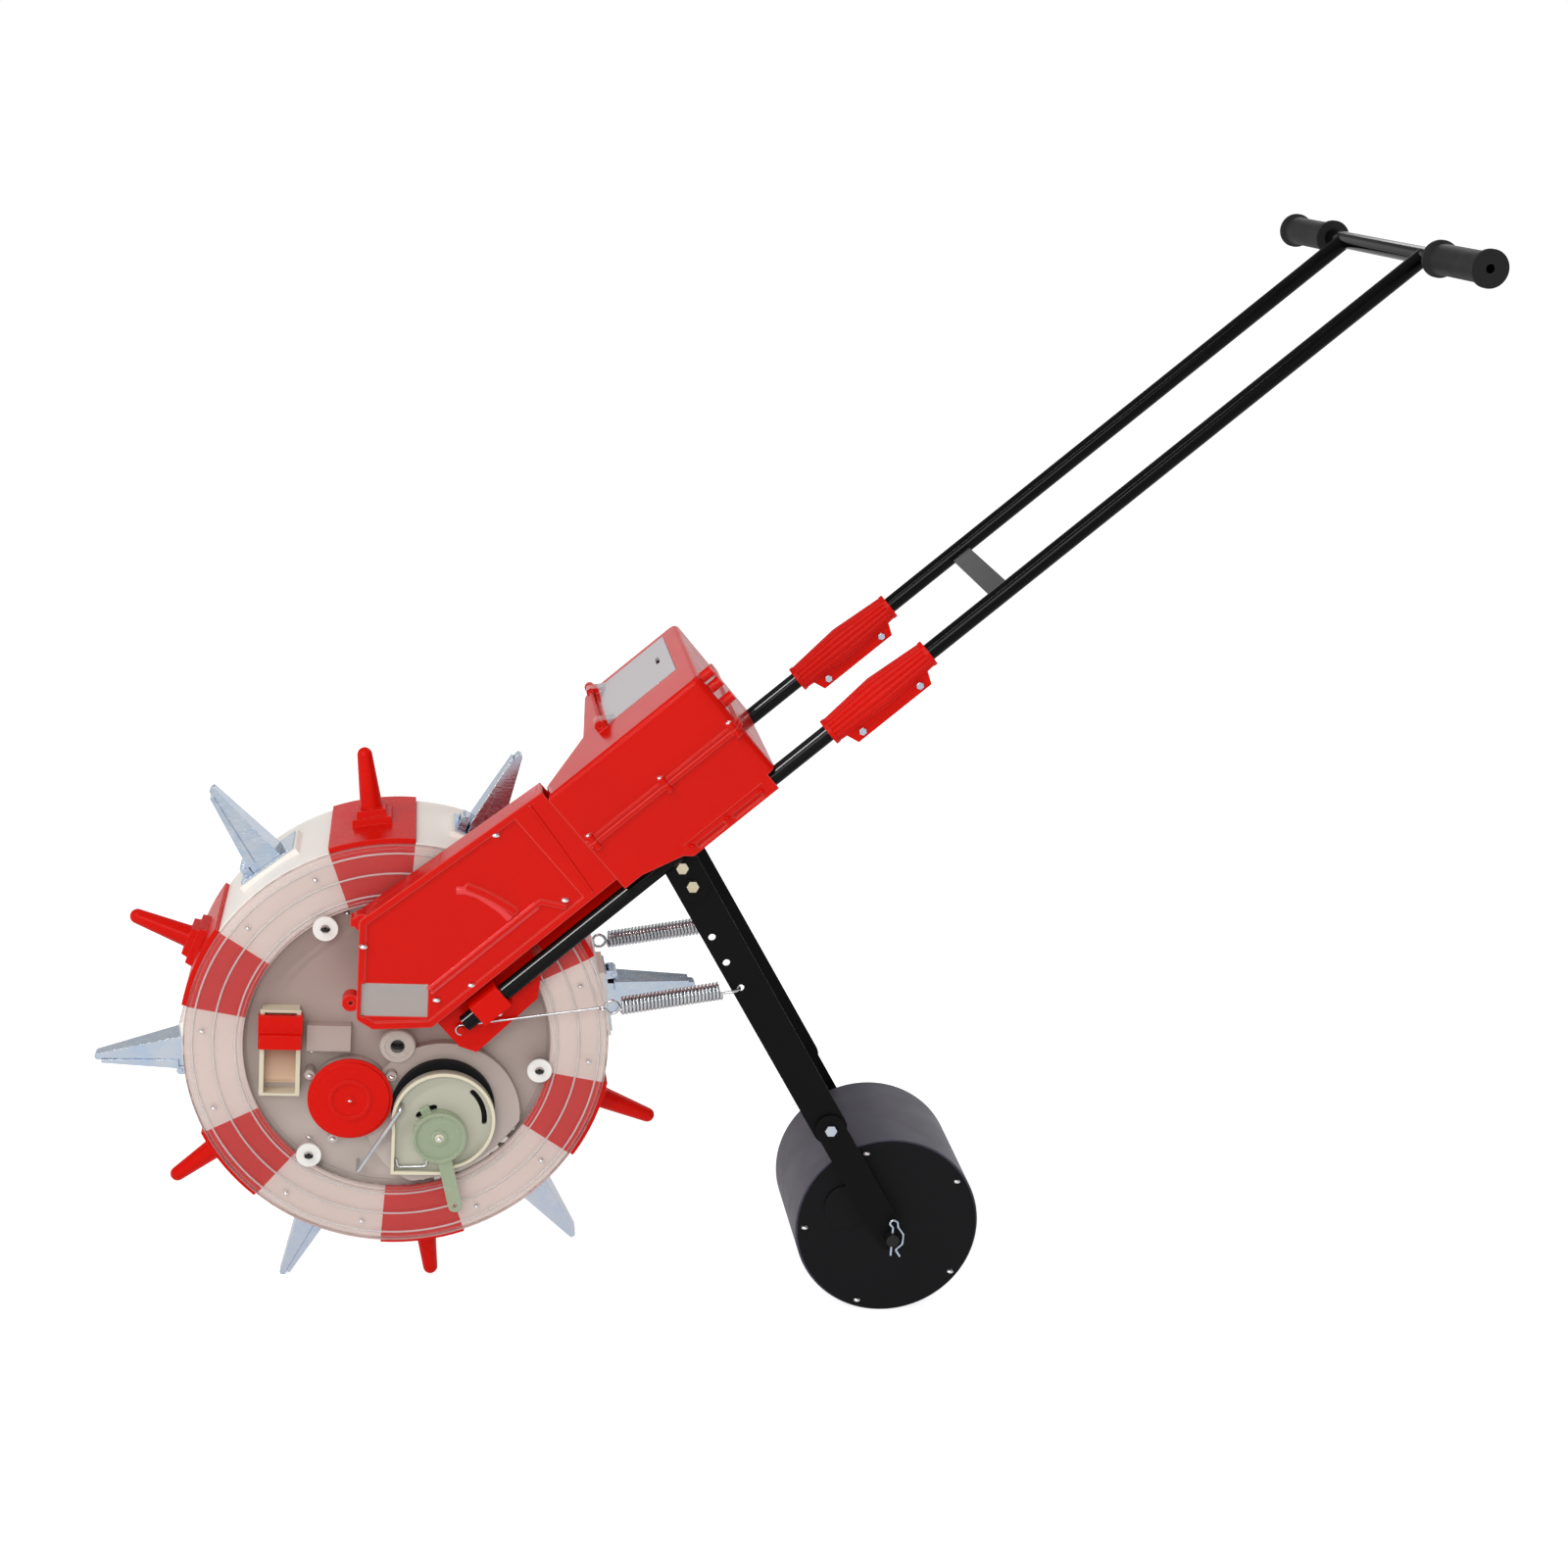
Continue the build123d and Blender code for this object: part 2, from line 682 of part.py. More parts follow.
with BuildPart() as metering_gear:
    with BuildSketch(meter_side(gear_back)):
        with BuildLine():
            Polyline(
                *tooth_corners(GEAR_TEETH, gear_pitch_r, gear_root_r, gear_top_r, flank, gear_turn),
                close=True,
            )
        make_face()
    extrude(amount=GEAR_T)
    with BuildSketch(meter_side(SEED_ROLLER_START)):
        Circle(GEAR_HUB_R)
    extrude(amount=gear_back - SEED_ROLLER_START)
    with BuildSketch(meter_side(SEED_ROLLER_START)):
        Circle(STUD_R + RUN_FIT)
    extrude(amount=gear_face - SEED_ROLLER_START, mode=Mode.SUBTRACT)
keep(metering_gear, "metering_gear")

seed_roller_end = plate_back - BOX_WALL
seed_roller_middle = (SEED_ROLLER_START + seed_roller_end) / 2
with BuildPart() as seed_roller:
    with BuildSketch(meter_side(SEED_ROLLER_START)):
        Circle(SEED_ROLLER_R)
        Circle(GEAR_HUB_R + SEAT_GAP, mode=Mode.SUBTRACT)
    extrude(amount=seed_roller_end - SEED_ROLLER_START)
    with Locations((gear_at[0], gear_at[1], seed_roller_middle)):
        with PolarLocations(SEED_ROLLER_R, ROLLER_CELLS):
            Sphere(CELL_R, mode=Mode.SUBTRACT)
keep(seed_roller, "seed_roller")

# Guide rollers, one pair on each of three axes, which carry the bores of the two side rings
guide_r = RING_BORE_R - RUN_GAP - GUIDE_TREAD_R
guide_flange_at = ring_lip_face + RUN_GAP
guide_face = guide_flange_at + GUIDE_FLANGE_T
guide_back = DRUM_HALF - GUIDE_OVERLAP

for number, angle in enumerate(GUIDE_ANGLES, start=1):
    turn = radians(angle)
    guide_at = (guide_r * cos(turn), guide_r * sin(turn))
    with BuildPart() as guide_roller:
        with BuildSketch(Plane((*guide_at, guide_back))):
            Circle(GUIDE_TREAD_R)
        extrude(amount=guide_flange_at - guide_back)
        with BuildSketch(Plane((*guide_at, guide_flange_at))):
            Circle(GUIDE_FLANGE_R)
        extrude(amount=GUIDE_FLANGE_T)
        with BuildSketch(Plane((*guide_at, guide_back))):
            Circle(GUIDE_BOSS_R + RUN_FIT)
        extrude(amount=guide_face - guide_back, mode=Mode.SUBTRACT)
        mirror(about=Plane.XY)
    keep(guide_roller, f"guide_roller_{number}")

# Plates that close the drum and stand still, with the bosses that the guide rollers turn on
with BuildPart() as plain_plate:
    with BuildSketch(side(plate_back)):
        Circle(plate_r)
    extrude(amount=PLATE_T)
    with BuildSketch(side(plate_back - PLATE_RIM)):
        Circle(plate_r)
        Circle(plate_r - PLATE_T, mode=Mode.SUBTRACT)
    extrude(amount=PLATE_RIM)
    for angle in GUIDE_ANGLES:
        boss_at = meridian(angle).from_local_coords((guide_r, 0, 0))
        with BuildSketch(Plane((boss_at.X, boss_at.Y, plate_face))):
            Circle(GUIDE_TREAD_R)
        extrude(amount=guide_back - RUN_GAP - plate_face)
        with BuildSketch(Plane((boss_at.X, boss_at.Y, plate_face))):
            Circle(GUIDE_BOSS_R)
        extrude(amount=guide_face - plate_face)
        with BuildSketch(Plane((boss_at.X, boss_at.Y, guide_face))):
            Circle(GUIDE_BOSS_R / 2)
        extrude(amount=plate_face - guide_face, mode=Mode.SUBTRACT)
    with BuildSketch(side(SEAT_GAP)):
        Circle(HUB_R)
    extrude(amount=hub_face - SEAT_GAP)
    with BuildSketch(side(SEAT_GAP)):
        Circle(TIE_R + SEAT_GAP)
    extrude(amount=hub_face - SEAT_GAP, mode=Mode.SUBTRACT)

with BuildPart() as right_plate:
    mirror(plain_plate.part, about=Plane.XY)
keep(right_plate, "right_plate")

boss_top = plate_face + COVER_RISE
gear_room_r = gear_top_r + GEAR_ROOM
gear_room_face = gear_face + GEAR_ROOM


def boss_outline(z, grow):
    """Outline of the boss under the seed cover, with its three screw ears, grown by an even amount."""
    with BuildSketch(Plane((*COVER_AT, z))) as outline:
        Circle(COVER_R - COVER_STEP + grow)
        for angle in COVER_EARS:
            with PolarLocations(COVER_EAR_R, 1, start_angle=angle):
                Circle(COVER_EAR + grow)
            with PolarLocations(COVER_R, 1, start_angle=angle):
                Rectangle(2 * COVER_EAR, COVER_EAR + 2 * grow)
    return outline.sketch


with BuildPart() as left_plate:
    add(plain_plate.part)
    extrude(boss_outline(plate_face, 0), amount=COVER_RISE)
    with BuildSketch(Plane((*COVER_AT, plate_face))):
        Circle(COVER_R - COVER_STEP - BOX_WALL)
    extrude(amount=COVER_RISE, mode=Mode.SUBTRACT)
    with BuildSketch(side(plate_face)):
        with Locations(BLOCK_AT):
            Rectangle(BLOCK[0], BLOCK[1])
    extrude(amount=BLOCK[2])
    with BuildSketch(side(plate_back)):
        with Locations(THROAT_AT):
            Rectangle(*THROAT)
        with Locations(gear_at):
            Circle(GEAR_HUB_R + GEAR_HUB_ROOM)
        with Locations((GATE_AT[0], POCKET_LOW + POCKET[1] / 3)):
            Rectangle(POCKET[0] - 2 * POCKET_WALL, POCKET[1] / 2)
    extrude(amount=PLATE_T, mode=Mode.SUBTRACT)
    with BuildSketch(meter_side(plate_face)):
        Circle(gear_room_r)
    extrude(amount=gear_room_face - plate_face, mode=Mode.SUBTRACT)
keep(left_plate, "left_plate")

# Seed box behind the left plate: seed comes in through the throat and leaves under the roller
box_left = HUB_R + BOX_HUB_GAP
box_right = gear_at[0] + SEED_ROLLER_R + 2 * BOX_WALL
box_low = gear_at[1] - SEED_ROLLER_R - 2 * BOX_WALL
box_back = SEED_ROLLER_START - 2 * BOX_WALL
box_corners = (
    (THROAT_AT[0] - THROAT[0] / 2 - BOX_WALL, THROAT_AT[1] + THROAT[1] / 2 + BOX_WALL),
    (THROAT_AT[0] + THROAT[0] / 2 + BOX_WALL, THROAT_AT[1] + THROAT[1] / 2 + BOX_WALL),
    (box_right, gear_at[1] + BOX_KNEE),
    (box_right, box_low),
    (box_left, box_low),
    (box_left, HUB_R + BOX_WALL),
    (THROAT_AT[0] - THROAT[0] / 2 - BOX_WALL, THROAT_AT[1] - THROAT[1] / 2 - BOX_WALL),
)
with BuildPart() as seed_box:
    with BuildSketch(side(box_back)) as box_outline:
        with BuildLine():
            Polyline(*box_corners, close=True)
        make_face()
    extrude(amount=plate_back - box_back)
    with BuildSketch(side(box_back + BOX_WALL)):
        add(box_outline.sketch.moved(Location((0, 0, -box_back))))
        offset(amount=-BOX_WALL, mode=Mode.REPLACE)
        with Locations((gear_at[0], gear_at[1] - SEED_ROLLER_R)):
            Rectangle(SEED_ROLLER_R, OUTLET_DEEP)
    extrude(amount=plate_back - box_back - BOX_WALL, mode=Mode.SUBTRACT)
    with BuildSketch(meter_side(box_back)):
        Circle(STUD_R + SEAT_GAP)
    extrude(amount=BOX_WALL, mode=Mode.SUBTRACT)
keep(seed_box, "seed_box")

# Frame of the seed gate, on the left plate
pocket_at = (GATE_AT[0], POCKET_LOW + POCKET[1] / 2)
pocket_face = plate_face + POCKET_DEEP
with BuildPart() as gate_frame:
    with BuildSketch(side(plate_face)):
        with Locations(pocket_at):
            Rectangle(*POCKET)
    extrude(amount=POCKET_DEEP)
    with BuildSketch(side(pocket_face - POCKET_LIP[1])):
        with Locations(pocket_at):
            Rectangle(POCKET[0] + 2 * POCKET_LIP[0], POCKET[1])
    extrude(amount=POCKET_LIP[1])
    with BuildSketch(side(plate_face)):
        with Locations(pocket_at):
            Rectangle(POCKET[0] - 2 * POCKET_WALL, POCKET[1] - 2 * POCKET_WALL)
    extrude(amount=POCKET_DEEP, mode=Mode.SUBTRACT)
keep(gate_frame, "gate_frame")

with BuildPart() as tie_bolt:
    with BuildSketch(side(-hub_face - TIE_PROUD)):
        Circle(TIE_R)
    extrude(amount=2 * hub_face + TIE_PROUD)
    with BuildSketch(side(hub_face)):
        RegularPolygon(TIE_CORNER_R, 6)
    extrude(amount=TIE_HEAD_HIGH)
    with BuildSketch(side(-hub_face)):
        RegularPolygon(TIE_CORNER_R, 6)
        Circle(TIE_R + SEAT_GAP, mode=Mode.SUBTRACT)
    extrude(amount=-TIE_NUT_HIGH)
keep(tie_bolt, "tie_bolt")

# Cover over the metering gear, open towards the ring gear
gear_cover_face = gear_room_face + GEAR_COVER_T
with BuildPart() as gear_cover:
    with BuildSketch(meter_side(plate_face)):
        Circle(gear_room_r + GEAR_COVER_WALL)
    extrude(amount=gear_cover_face - plate_face)
    with BuildSketch(meter_side(plate_face)):
        Circle(gear_room_r)
    extrude(amount=gear_room_face - plate_face, mode=Mode.SUBTRACT)
    with BuildSketch(side(plate_face)):
        Circle(plate_r - PLATE_GAP)
        Circle(TIE_CORNER_R + PLATE_GAP, mode=Mode.SUBTRACT)
        with Locations(gear_at):
            Circle(STUD_R + SEAT_GAP, mode=Mode.SUBTRACT)
    extrude(amount=gear_cover_face - plate_face, mode=Mode.INTERSECT)
    extrude(boss_outline(plate_face, RUN_GAP), amount=COVER_RISE, mode=Mode.SUBTRACT)
keep(gear_cover, "gear_cover")

# Rate disc on the gear cover, and the open housing in front of it
disc_back = gear_cover_face + SEAT_GAP
disc_face = disc_back + RATE_DISC_T
housing_back = disc_face + SEAT_GAP
housing_floor = housing_back + HOUSING_FLOOR
housing_face = housing_back + HOUSING_DEEP
with BuildPart() as rate_disc:
    with BuildSketch(side(disc_back)):
        with Locations(RATE_DISC_AT):
            Circle(RATE_DISC_R)
        with Locations(gear_at):
            Circle(STUD_R + SEAT_GAP, mode=Mode.SUBTRACT)
    extrude(amount=RATE_DISC_T)
keep(rate_disc, "rate_disc")

with BuildPart() as meter_stud:
    with BuildSketch(meter_side(box_back)):
        Circle(2 * STUD_R)
    extrude(amount=-STUD_HEAD_HIGH)
    with BuildSketch(meter_side(box_back)):
        Circle(STUD_R)
    extrude(amount=housing_floor - box_back)
keep(meter_stud, "meter_stud")


def lever_side(z):
    """Side-view plane with its middle on the lever's post."""
    return Plane((*LEVER_AT, z))


lever_back = housing_floor + RUN_GAP
lever_arm_back = housing_face + RUN_GAP
lever_hub_face = lever_arm_back + LEVER_T + LEVER_HUB_PROUD
slot_r, slot_from, slot_to, slot_wide = RATE_SLOT
with BuildPart() as meter_housing:
    with BuildSketch(side(housing_back)) as housing_outline:
        with Locations(HOUSING_AT):
            Circle(HOUSING_R)
        with Locations(HOUSING_LEG_AT):
            Rectangle(*HOUSING_LEG)
    extrude(amount=HOUSING_DEEP)
    with BuildSketch(side(housing_floor)):
        add(housing_outline.sketch.moved(Location((0, 0, -housing_back))))
        offset(amount=-HOUSING_WALL, mode=Mode.REPLACE)
    extrude(amount=HOUSING_DEEP, mode=Mode.SUBTRACT)
    with BuildSketch(Plane((*HOUSING_AT, housing_back))):
        with BuildLine() as rate_line:
            CenterArc((0, 0), slot_r, slot_from, slot_to - slot_from)
        SlotArc(rate_line.edge(), slot_wide)
    extrude(amount=HOUSING_FLOOR, mode=Mode.SUBTRACT)
    with BuildSketch(lever_side(housing_back)):
        with BuildLine() as pin_line:
            CenterArc((0, 0), TAB_PIN_AT, TAB_BEARING - LEVER_SWING, 2 * LEVER_SWING)
        SlotArc(pin_line.edge(), 2 * (TAB_PIN_R + RUN_GAP))
    extrude(amount=HOUSING_FLOOR, mode=Mode.SUBTRACT)
    with BuildSketch(meter_side(housing_back)):
        Circle(STUD_R + SEAT_GAP)
    extrude(amount=HOUSING_FLOOR, mode=Mode.SUBTRACT)
    with BuildSketch(lever_side(housing_floor)):
        Circle(LEVER_POST_R)
    extrude(amount=lever_hub_face - housing_floor)
keep(meter_housing, "meter_housing")

with BuildPart() as rate_lever:
    with BuildSketch(lever_side(lever_back)):
        Circle(LEVER_HUB_R)
    extrude(amount=lever_hub_face - lever_back)
    with BuildSketch(lever_side(lever_arm_back).rotated((0, 0, LEVER_BEARING))):
        with Locations((LEVER_REACH / 2, 0)):
            SlotCenterToCenter(LEVER_REACH, LEVER_WIDE)
        with Locations((LEVER_REACH, 0)):
            Circle(LEVER_HOLE_R, mode=Mode.SUBTRACT)
    extrude(amount=LEVER_T)
    with BuildSketch(lever_side(lever_back).rotated((0, 0, TAB_BEARING))):
        with Locations((TAB_REACH / 2, 0)):
            Rectangle(TAB_REACH, TAB_WIDE)
    extrude(amount=LEVER_T)
    with BuildSketch(lever_side(lever_back).rotated((0, 0, TAB_BEARING))):
        with Locations((TAB_PIN_AT, 0)):
            Circle(TAB_PIN_R)
    extrude(amount=-HOUSING_FLOOR)
    with BuildSketch(lever_side(lever_hub_face)):
        Circle(LEVER_HUB_R - LEVER_HUB_RIM)
        Circle(LEVER_POST_R + LEVER_HUB_RIM, mode=Mode.SUBTRACT)
    extrude(amount=-LEVER_HUB_PROUD, mode=Mode.SUBTRACT)
    with BuildSketch(lever_side(lever_back)):
        Circle(LEVER_POST_R + RUN_FIT)
    extrude(amount=lever_hub_face - lever_back, mode=Mode.SUBTRACT)
keep(rate_lever, "rate_lever")

cover_face = boss_top + COVER_T
ridge_r, ridge_wide, ridge_high = COVER_RIDGE
with BuildPart() as seed_cover:
    with BuildSketch(Plane((*COVER_AT, boss_top))):
        Circle(COVER_R)
    extrude(amount=COVER_T)
    with BuildSketch(Plane((*COVER_AT, cover_face))):
        Circle(COVER_R - COVER_STEP)
    extrude(amount=COVER_CROWN, taper=COVER_CROWN_DRAFT)
    with BuildSketch(Plane((*COVER_AT, cover_face + COVER_CROWN))):
        Circle(ridge_r)
        Circle(ridge_r - ridge_wide, mode=Mode.SUBTRACT)
        Circle(COVER_DOT_R)
    extrude(amount=ridge_high)
keep(seed_cover, "seed_cover")

gate_back = pocket_face + RUN_GAP
gate_hook_back = pocket_face - POCKET_LIP[1] - RUN_GAP - GATE_HOOK
lip_half = POCKET[0] / 2 + POCKET_LIP[0] + RUN_GAP
gate_top = GATE_AT[1] + GATE_SIZE[1] / 2
with BuildPart() as seed_gate:
    with BuildSketch(Plane.XZ.offset(-gate_top)):
        with Locations((GATE_AT[0], gate_hook_back)):
            Rectangle(GATE_SIZE[0], gate_back + GATE_T - gate_hook_back, align=(Align.CENTER, Align.MIN))
            Rectangle(
                POCKET[0] + 2 * RUN_GAP,
                gate_back - gate_hook_back,
                align=(Align.CENTER, Align.MIN),
                mode=Mode.SUBTRACT,
            )
        with Locations((GATE_AT[0], gate_back)):
            Rectangle(
                2 * lip_half,
                POCKET_LIP[1] + 2 * RUN_GAP,
                align=(Align.CENTER, Align.MAX),
                mode=Mode.SUBTRACT,
            )
    extrude(amount=GATE_SIZE[1])
    with BuildSketch(side(gate_back + GATE_T)):
        with Locations((GATE_AT[0], GATE_AT[1] - GATE_SIZE[1] / 4)):
            Rectangle(GATE_SIZE[0], GATE_SIZE[1] / 2)
    extrude(amount=GATE_GRIP, taper=GATE_GRIP_DRAFT)
keep(seed_gate, "seed_gate")

# Frame: lower tubes, the lugs welded under them, and the welded handle
arm_back = tube_at - TUBE_R - RUN_GAP - ARM_T
arm_face = arm_back + ARM_T
lug_back = arm_face + RUN_GAP
lug_face = lug_back + ARM_T
tube_line = Plane(on_rail(TUBE_START, -RAIL_DROP) + (tube_at,), x_dir=square, z_dir=along)
pivot = on_rail(PIVOT_U, pivot_v)
roller_centre = (ROLLER_X, ROLLER_R - ground)
arm_reach = hypot(roller_centre[0] - pivot[0], roller_centre[1] - pivot[1])
arm_way = ((roller_centre[0] - pivot[0]) / arm_reach, (roller_centre[1] - pivot[1]) / arm_reach, 0)


def arm_side(z):
    """Side-view plane with its middle on the arm pivot and x down the arm."""
    return Plane((pivot[0], pivot[1], z), x_dir=arm_way, z_dir=(0, 0, 1))


with BuildPart() as left_tube:
    with BuildSketch(tube_line):
        Circle(TUBE_R)
        Circle(tube_bore_r, mode=Mode.SUBTRACT)
    extrude(amount=tube_split - TUBE_START)
keep(left_tube, "left_tube")

with BuildPart() as right_tube:
    mirror(left_tube.part, about=Plane.XY)
keep(right_tube, "right_tube")

with BuildPart() as arm_lugs:
    with BuildSketch(arm_side(lug_back)):
        with Locations((STOP_AT / 2, 0)):
            SlotCenterToCenter(STOP_AT, LUG_WIDE)
    extrude(amount=ARM_T)
    with BuildSketch(RAIL.offset(lug_back)):
        with Locations((PIVOT_U, pivot_v)):
            Rectangle(LUG_WIDE, -RAIL_DROP - pivot_v, align=(Align.CENTER, Align.MIN))
    extrude(amount=ARM_T)
    with BuildSketch(arm_side(lug_back)):
        with Locations((0, 0), (STOP_AT, 0)):
            Circle(BOLT_R + SEAT_GAP)
    extrude(amount=ARM_T, mode=Mode.SUBTRACT)
    with BuildSketch(tube_line):
        Circle(TUBE_R + SEAT_GAP)
    extrude(amount=tube_split - TUBE_START, mode=Mode.SUBTRACT)
    mirror(about=Plane.XY)
keep(arm_lugs, "arm_lugs")

upper_start = tube_split + TUBE_GAP
upper_line = Plane(on_rail(upper_start, -RAIL_DROP) + (tube_at,), x_dir=square, z_dir=along)
bar_end = Plane((handle_x, handle_y, -BAR_HALF))
with BuildPart() as handle_bores:
    with BuildSketch(upper_line):
        Circle(tube_bore_r)
    extrude(amount=HANDLE_AT - upper_start - 2 * TUBE_R)
    mirror(about=Plane.XY)
    with BuildSketch(bar_end):
        Circle(tube_bore_r)
    extrude(amount=2 * BAR_HALF)

with BuildPart() as handle:
    with BuildSketch(upper_line):
        Circle(TUBE_R)
    extrude(amount=HANDLE_AT - upper_start)
    mirror(about=Plane.XY)
    with BuildSketch(PLAN.offset(-RAIL_DROP - BRACE[1] / 2)):
        with Locations((brace_at, 0)):
            Rectangle(BRACE[0], 2 * tube_at)
    extrude(amount=BRACE[1])
    with BuildSketch(bar_end):
        Circle(TUBE_R)
    extrude(amount=2 * BAR_HALF)
    add(handle_bores.part, mode=Mode.SUBTRACT)
keep(handle, "handle")

bar_line = Plane((handle_x, handle_y, 0), x_dir=(1, 0, 0), z_dir=(0, -1, 0))
grip_out = BAR_HALF + GRIP_END
grip_in = grip_out - GRIP_LONG
with BuildPart() as grips:
    with BuildSketch(bar_line):
        with BuildLine():
            Polyline(
                (TUBE_R + SEAT_GAP, grip_in),
                (GRIP_COLLAR_R, grip_in),
                (GRIP_COLLAR_R, grip_in + GRIP_COLLAR / 2),
                (GRIP_R, grip_in + GRIP_COLLAR),
                (GRIP_R, grip_out - GRIP_COLLAR),
                (GRIP_COLLAR_R, grip_out - GRIP_COLLAR / 2),
                (GRIP_COLLAR_R, grip_out),
                (GRIP_HOLE_R, grip_out),
                (GRIP_HOLE_R, BAR_HALF + SEAT_GAP),
                (TUBE_R + SEAT_GAP, BAR_HALF + SEAT_GAP),
                close=True,
            )
        make_face()
    revolve(axis=Axis((handle_x, handle_y, 0), (0, 0, 1)))
    mirror(about=Plane.XY)
keep(grips, "grips")

# Clamp sleeves that join the lower tubes to the handle
clamp_side = Plane(on_rail(0, -RAIL_DROP) + (tube_at,), x_dir=along, z_dir=(0, 0, 1))
clamp_bore_r = TUBE_R + SEAT_GAP
screw_spots = [(tube_split + hand * CLAMP_SCREW_REACH, -CLAMP_SCREW_DROP) for hand in (-1, 1)]
lip_r, lip_long = CLAMP_LIP


def across_tube(u):
    """Plane square to the left tube at u, with x square to the tubes and y outwards."""
    return Plane(on_rail(u, -RAIL_DROP) + (tube_at,), x_dir=square, z_dir=along)


def ribbed_half(u, r):
    """Outer half of the sleeve's ribbed section at u, with the tops of its ridges at the radius r."""
    ridge = pi / CLAMP_RIDGES
    valley = r - CLAMP_FLUTE
    with BuildSketch(across_tube(u)) as section:
        with BuildLine():
            for k in range(CLAMP_RIDGES):
                ThreePointArc(
                    (valley * cos(k * ridge), valley * sin(k * ridge)),
                    (r * cos((k + 0.5) * ridge), r * sin((k + 0.5) * ridge)),
                    (valley * cos((k + 1) * ridge), valley * sin((k + 1) * ridge)),
                )
            Line((-valley, 0), (valley, 0))
        make_face()
    return section.sketch


with BuildPart() as outer_clamp:
    sections = [
        ribbed_half(clamp_span[0], CLAMP_END_R),
        ribbed_half(tube_split, CLAMP_MID_R),
        ribbed_half(clamp_span[1], CLAMP_END_R),
    ]
    loft(sections, ruled=True)
    for start in (clamp_span[0], clamp_span[1] - lip_long):
        with BuildSketch(across_tube(start)):
            Circle(lip_r)
            Rectangle(2 * lip_r, lip_r, align=(Align.CENTER, Align.MAX), mode=Mode.SUBTRACT)
        extrude(amount=lip_long)
    with BuildSketch(clamp_side):
        with BuildLine():
            Polyline(
                (clamp_span[0] + CLAMP_EAR_RUN[0], 0),
                (clamp_span[0] + CLAMP_EAR_RUN[1], -CLAMP_EAR),
                (clamp_span[1] - CLAMP_EAR_RUN[1], -CLAMP_EAR),
                (clamp_span[1] - CLAMP_EAR_RUN[0], 0),
                close=True,
            )
        make_face()
    extrude(amount=CLAMP_EAR_T)
    with BuildSketch(clamp_side):
        with Locations(*screw_spots):
            Circle(CLAMP_SCREW_R + SEAT_GAP)
    extrude(amount=CLAMP_EAR_T, mode=Mode.SUBTRACT)
    with BuildSketch(across_tube(clamp_span[0])):
        Circle(clamp_bore_r)
    extrude(amount=CLAMP_LONG, mode=Mode.SUBTRACT)
    with BuildSketch(clamp_side):
        with Locations((tube_split, 0)):
            Rectangle(2 * CLAMP_LONG, CLAMP_LONG)
    extrude(amount=SEAT_GAP, mode=Mode.SUBTRACT)

with BuildPart() as outer_clamps:
    add(outer_clamp.part)
    mirror(about=Plane.XY)
keep(outer_clamps, "outer_clamps")

with BuildPart() as inner_clamps:
    mirror(outer_clamp.part, about=clamp_side)
    mirror(about=Plane.XY)
keep(inner_clamps, "inner_clamps")

with BuildPart() as clamp_screws:
    with BuildSketch(clamp_side.offset(-CLAMP_EAR_T - CLAMP_HEAD_HIGH)):
        with Locations(*screw_spots):
            Circle(CLAMP_SCREW_R)
    extrude(amount=2 * CLAMP_EAR_T + CLAMP_HEAD_HIGH)
    for face, high in ((CLAMP_EAR_T, CLAMP_HEAD_HIGH), (-CLAMP_EAR_T, -CLAMP_HEAD_HIGH)):
        with BuildSketch(clamp_side.offset(face)):
            with Locations(*screw_spots):
                RegularPolygon(CLAMP_HEAD_R, 6)
        extrude(amount=high)
    mirror(about=Plane.XY)
keep(clamp_screws, "clamp_screws")

# Brackets that hold the standing plates to the lower tubes, with the spring anchors
strap_face = tube_at + TUBE_R + STRAP_WALL
with BuildPart() as left_bracket:
    with BuildSketch(RAIL.offset(bracket_back)):
        with BuildLine():
            Polyline(
                (BRACKET_FRONT[0], CHUTE_LOW_V),
                BRACKET_FRONT,
                BRACKET_TOE,
                BRACKET_HEEL,
                BRACKET_TAIL,
                (BRACKET_BACK, CHUTE_LOW_V),
                close=True,
            )
        make_face()
    extrude(amount=BRACKET_T)
    with BuildSketch(RAIL.offset(plate_face)):
        with Locations(*BRACKET_POSTS):
            Circle(BRACKET_POST_R)
    extrude(amount=bracket_back - plate_face)
    with BuildSketch(across_tube(STRAP_SPAN[0])):
        with BuildLine():
            Polyline(
                (STRAP_FOOT[0], bracket_face - tube_at),
                (STRAP_FOOT[1], bracket_face - tube_at),
                (STRAP_TOP_HALF, strap_face - tube_at),
                (-STRAP_TOP_HALF, strap_face - tube_at),
                close=True,
            )
        make_face()
        Circle(TUBE_R + SEAT_GAP, mode=Mode.SUBTRACT)
    extrude(amount=STRAP_SPAN[1] - STRAP_SPAN[0])
    with BuildSketch(side(bracket_face)):
        with Locations(SPRING_ANCHOR):
            Circle(ANCHOR_R)
    extrude(amount=ANCHOR_LONG)
keep(left_bracket, "left_bracket")

with BuildPart() as right_bracket:
    mirror(left_bracket.part, about=Plane.XY)
keep(right_bracket, "right_bracket")


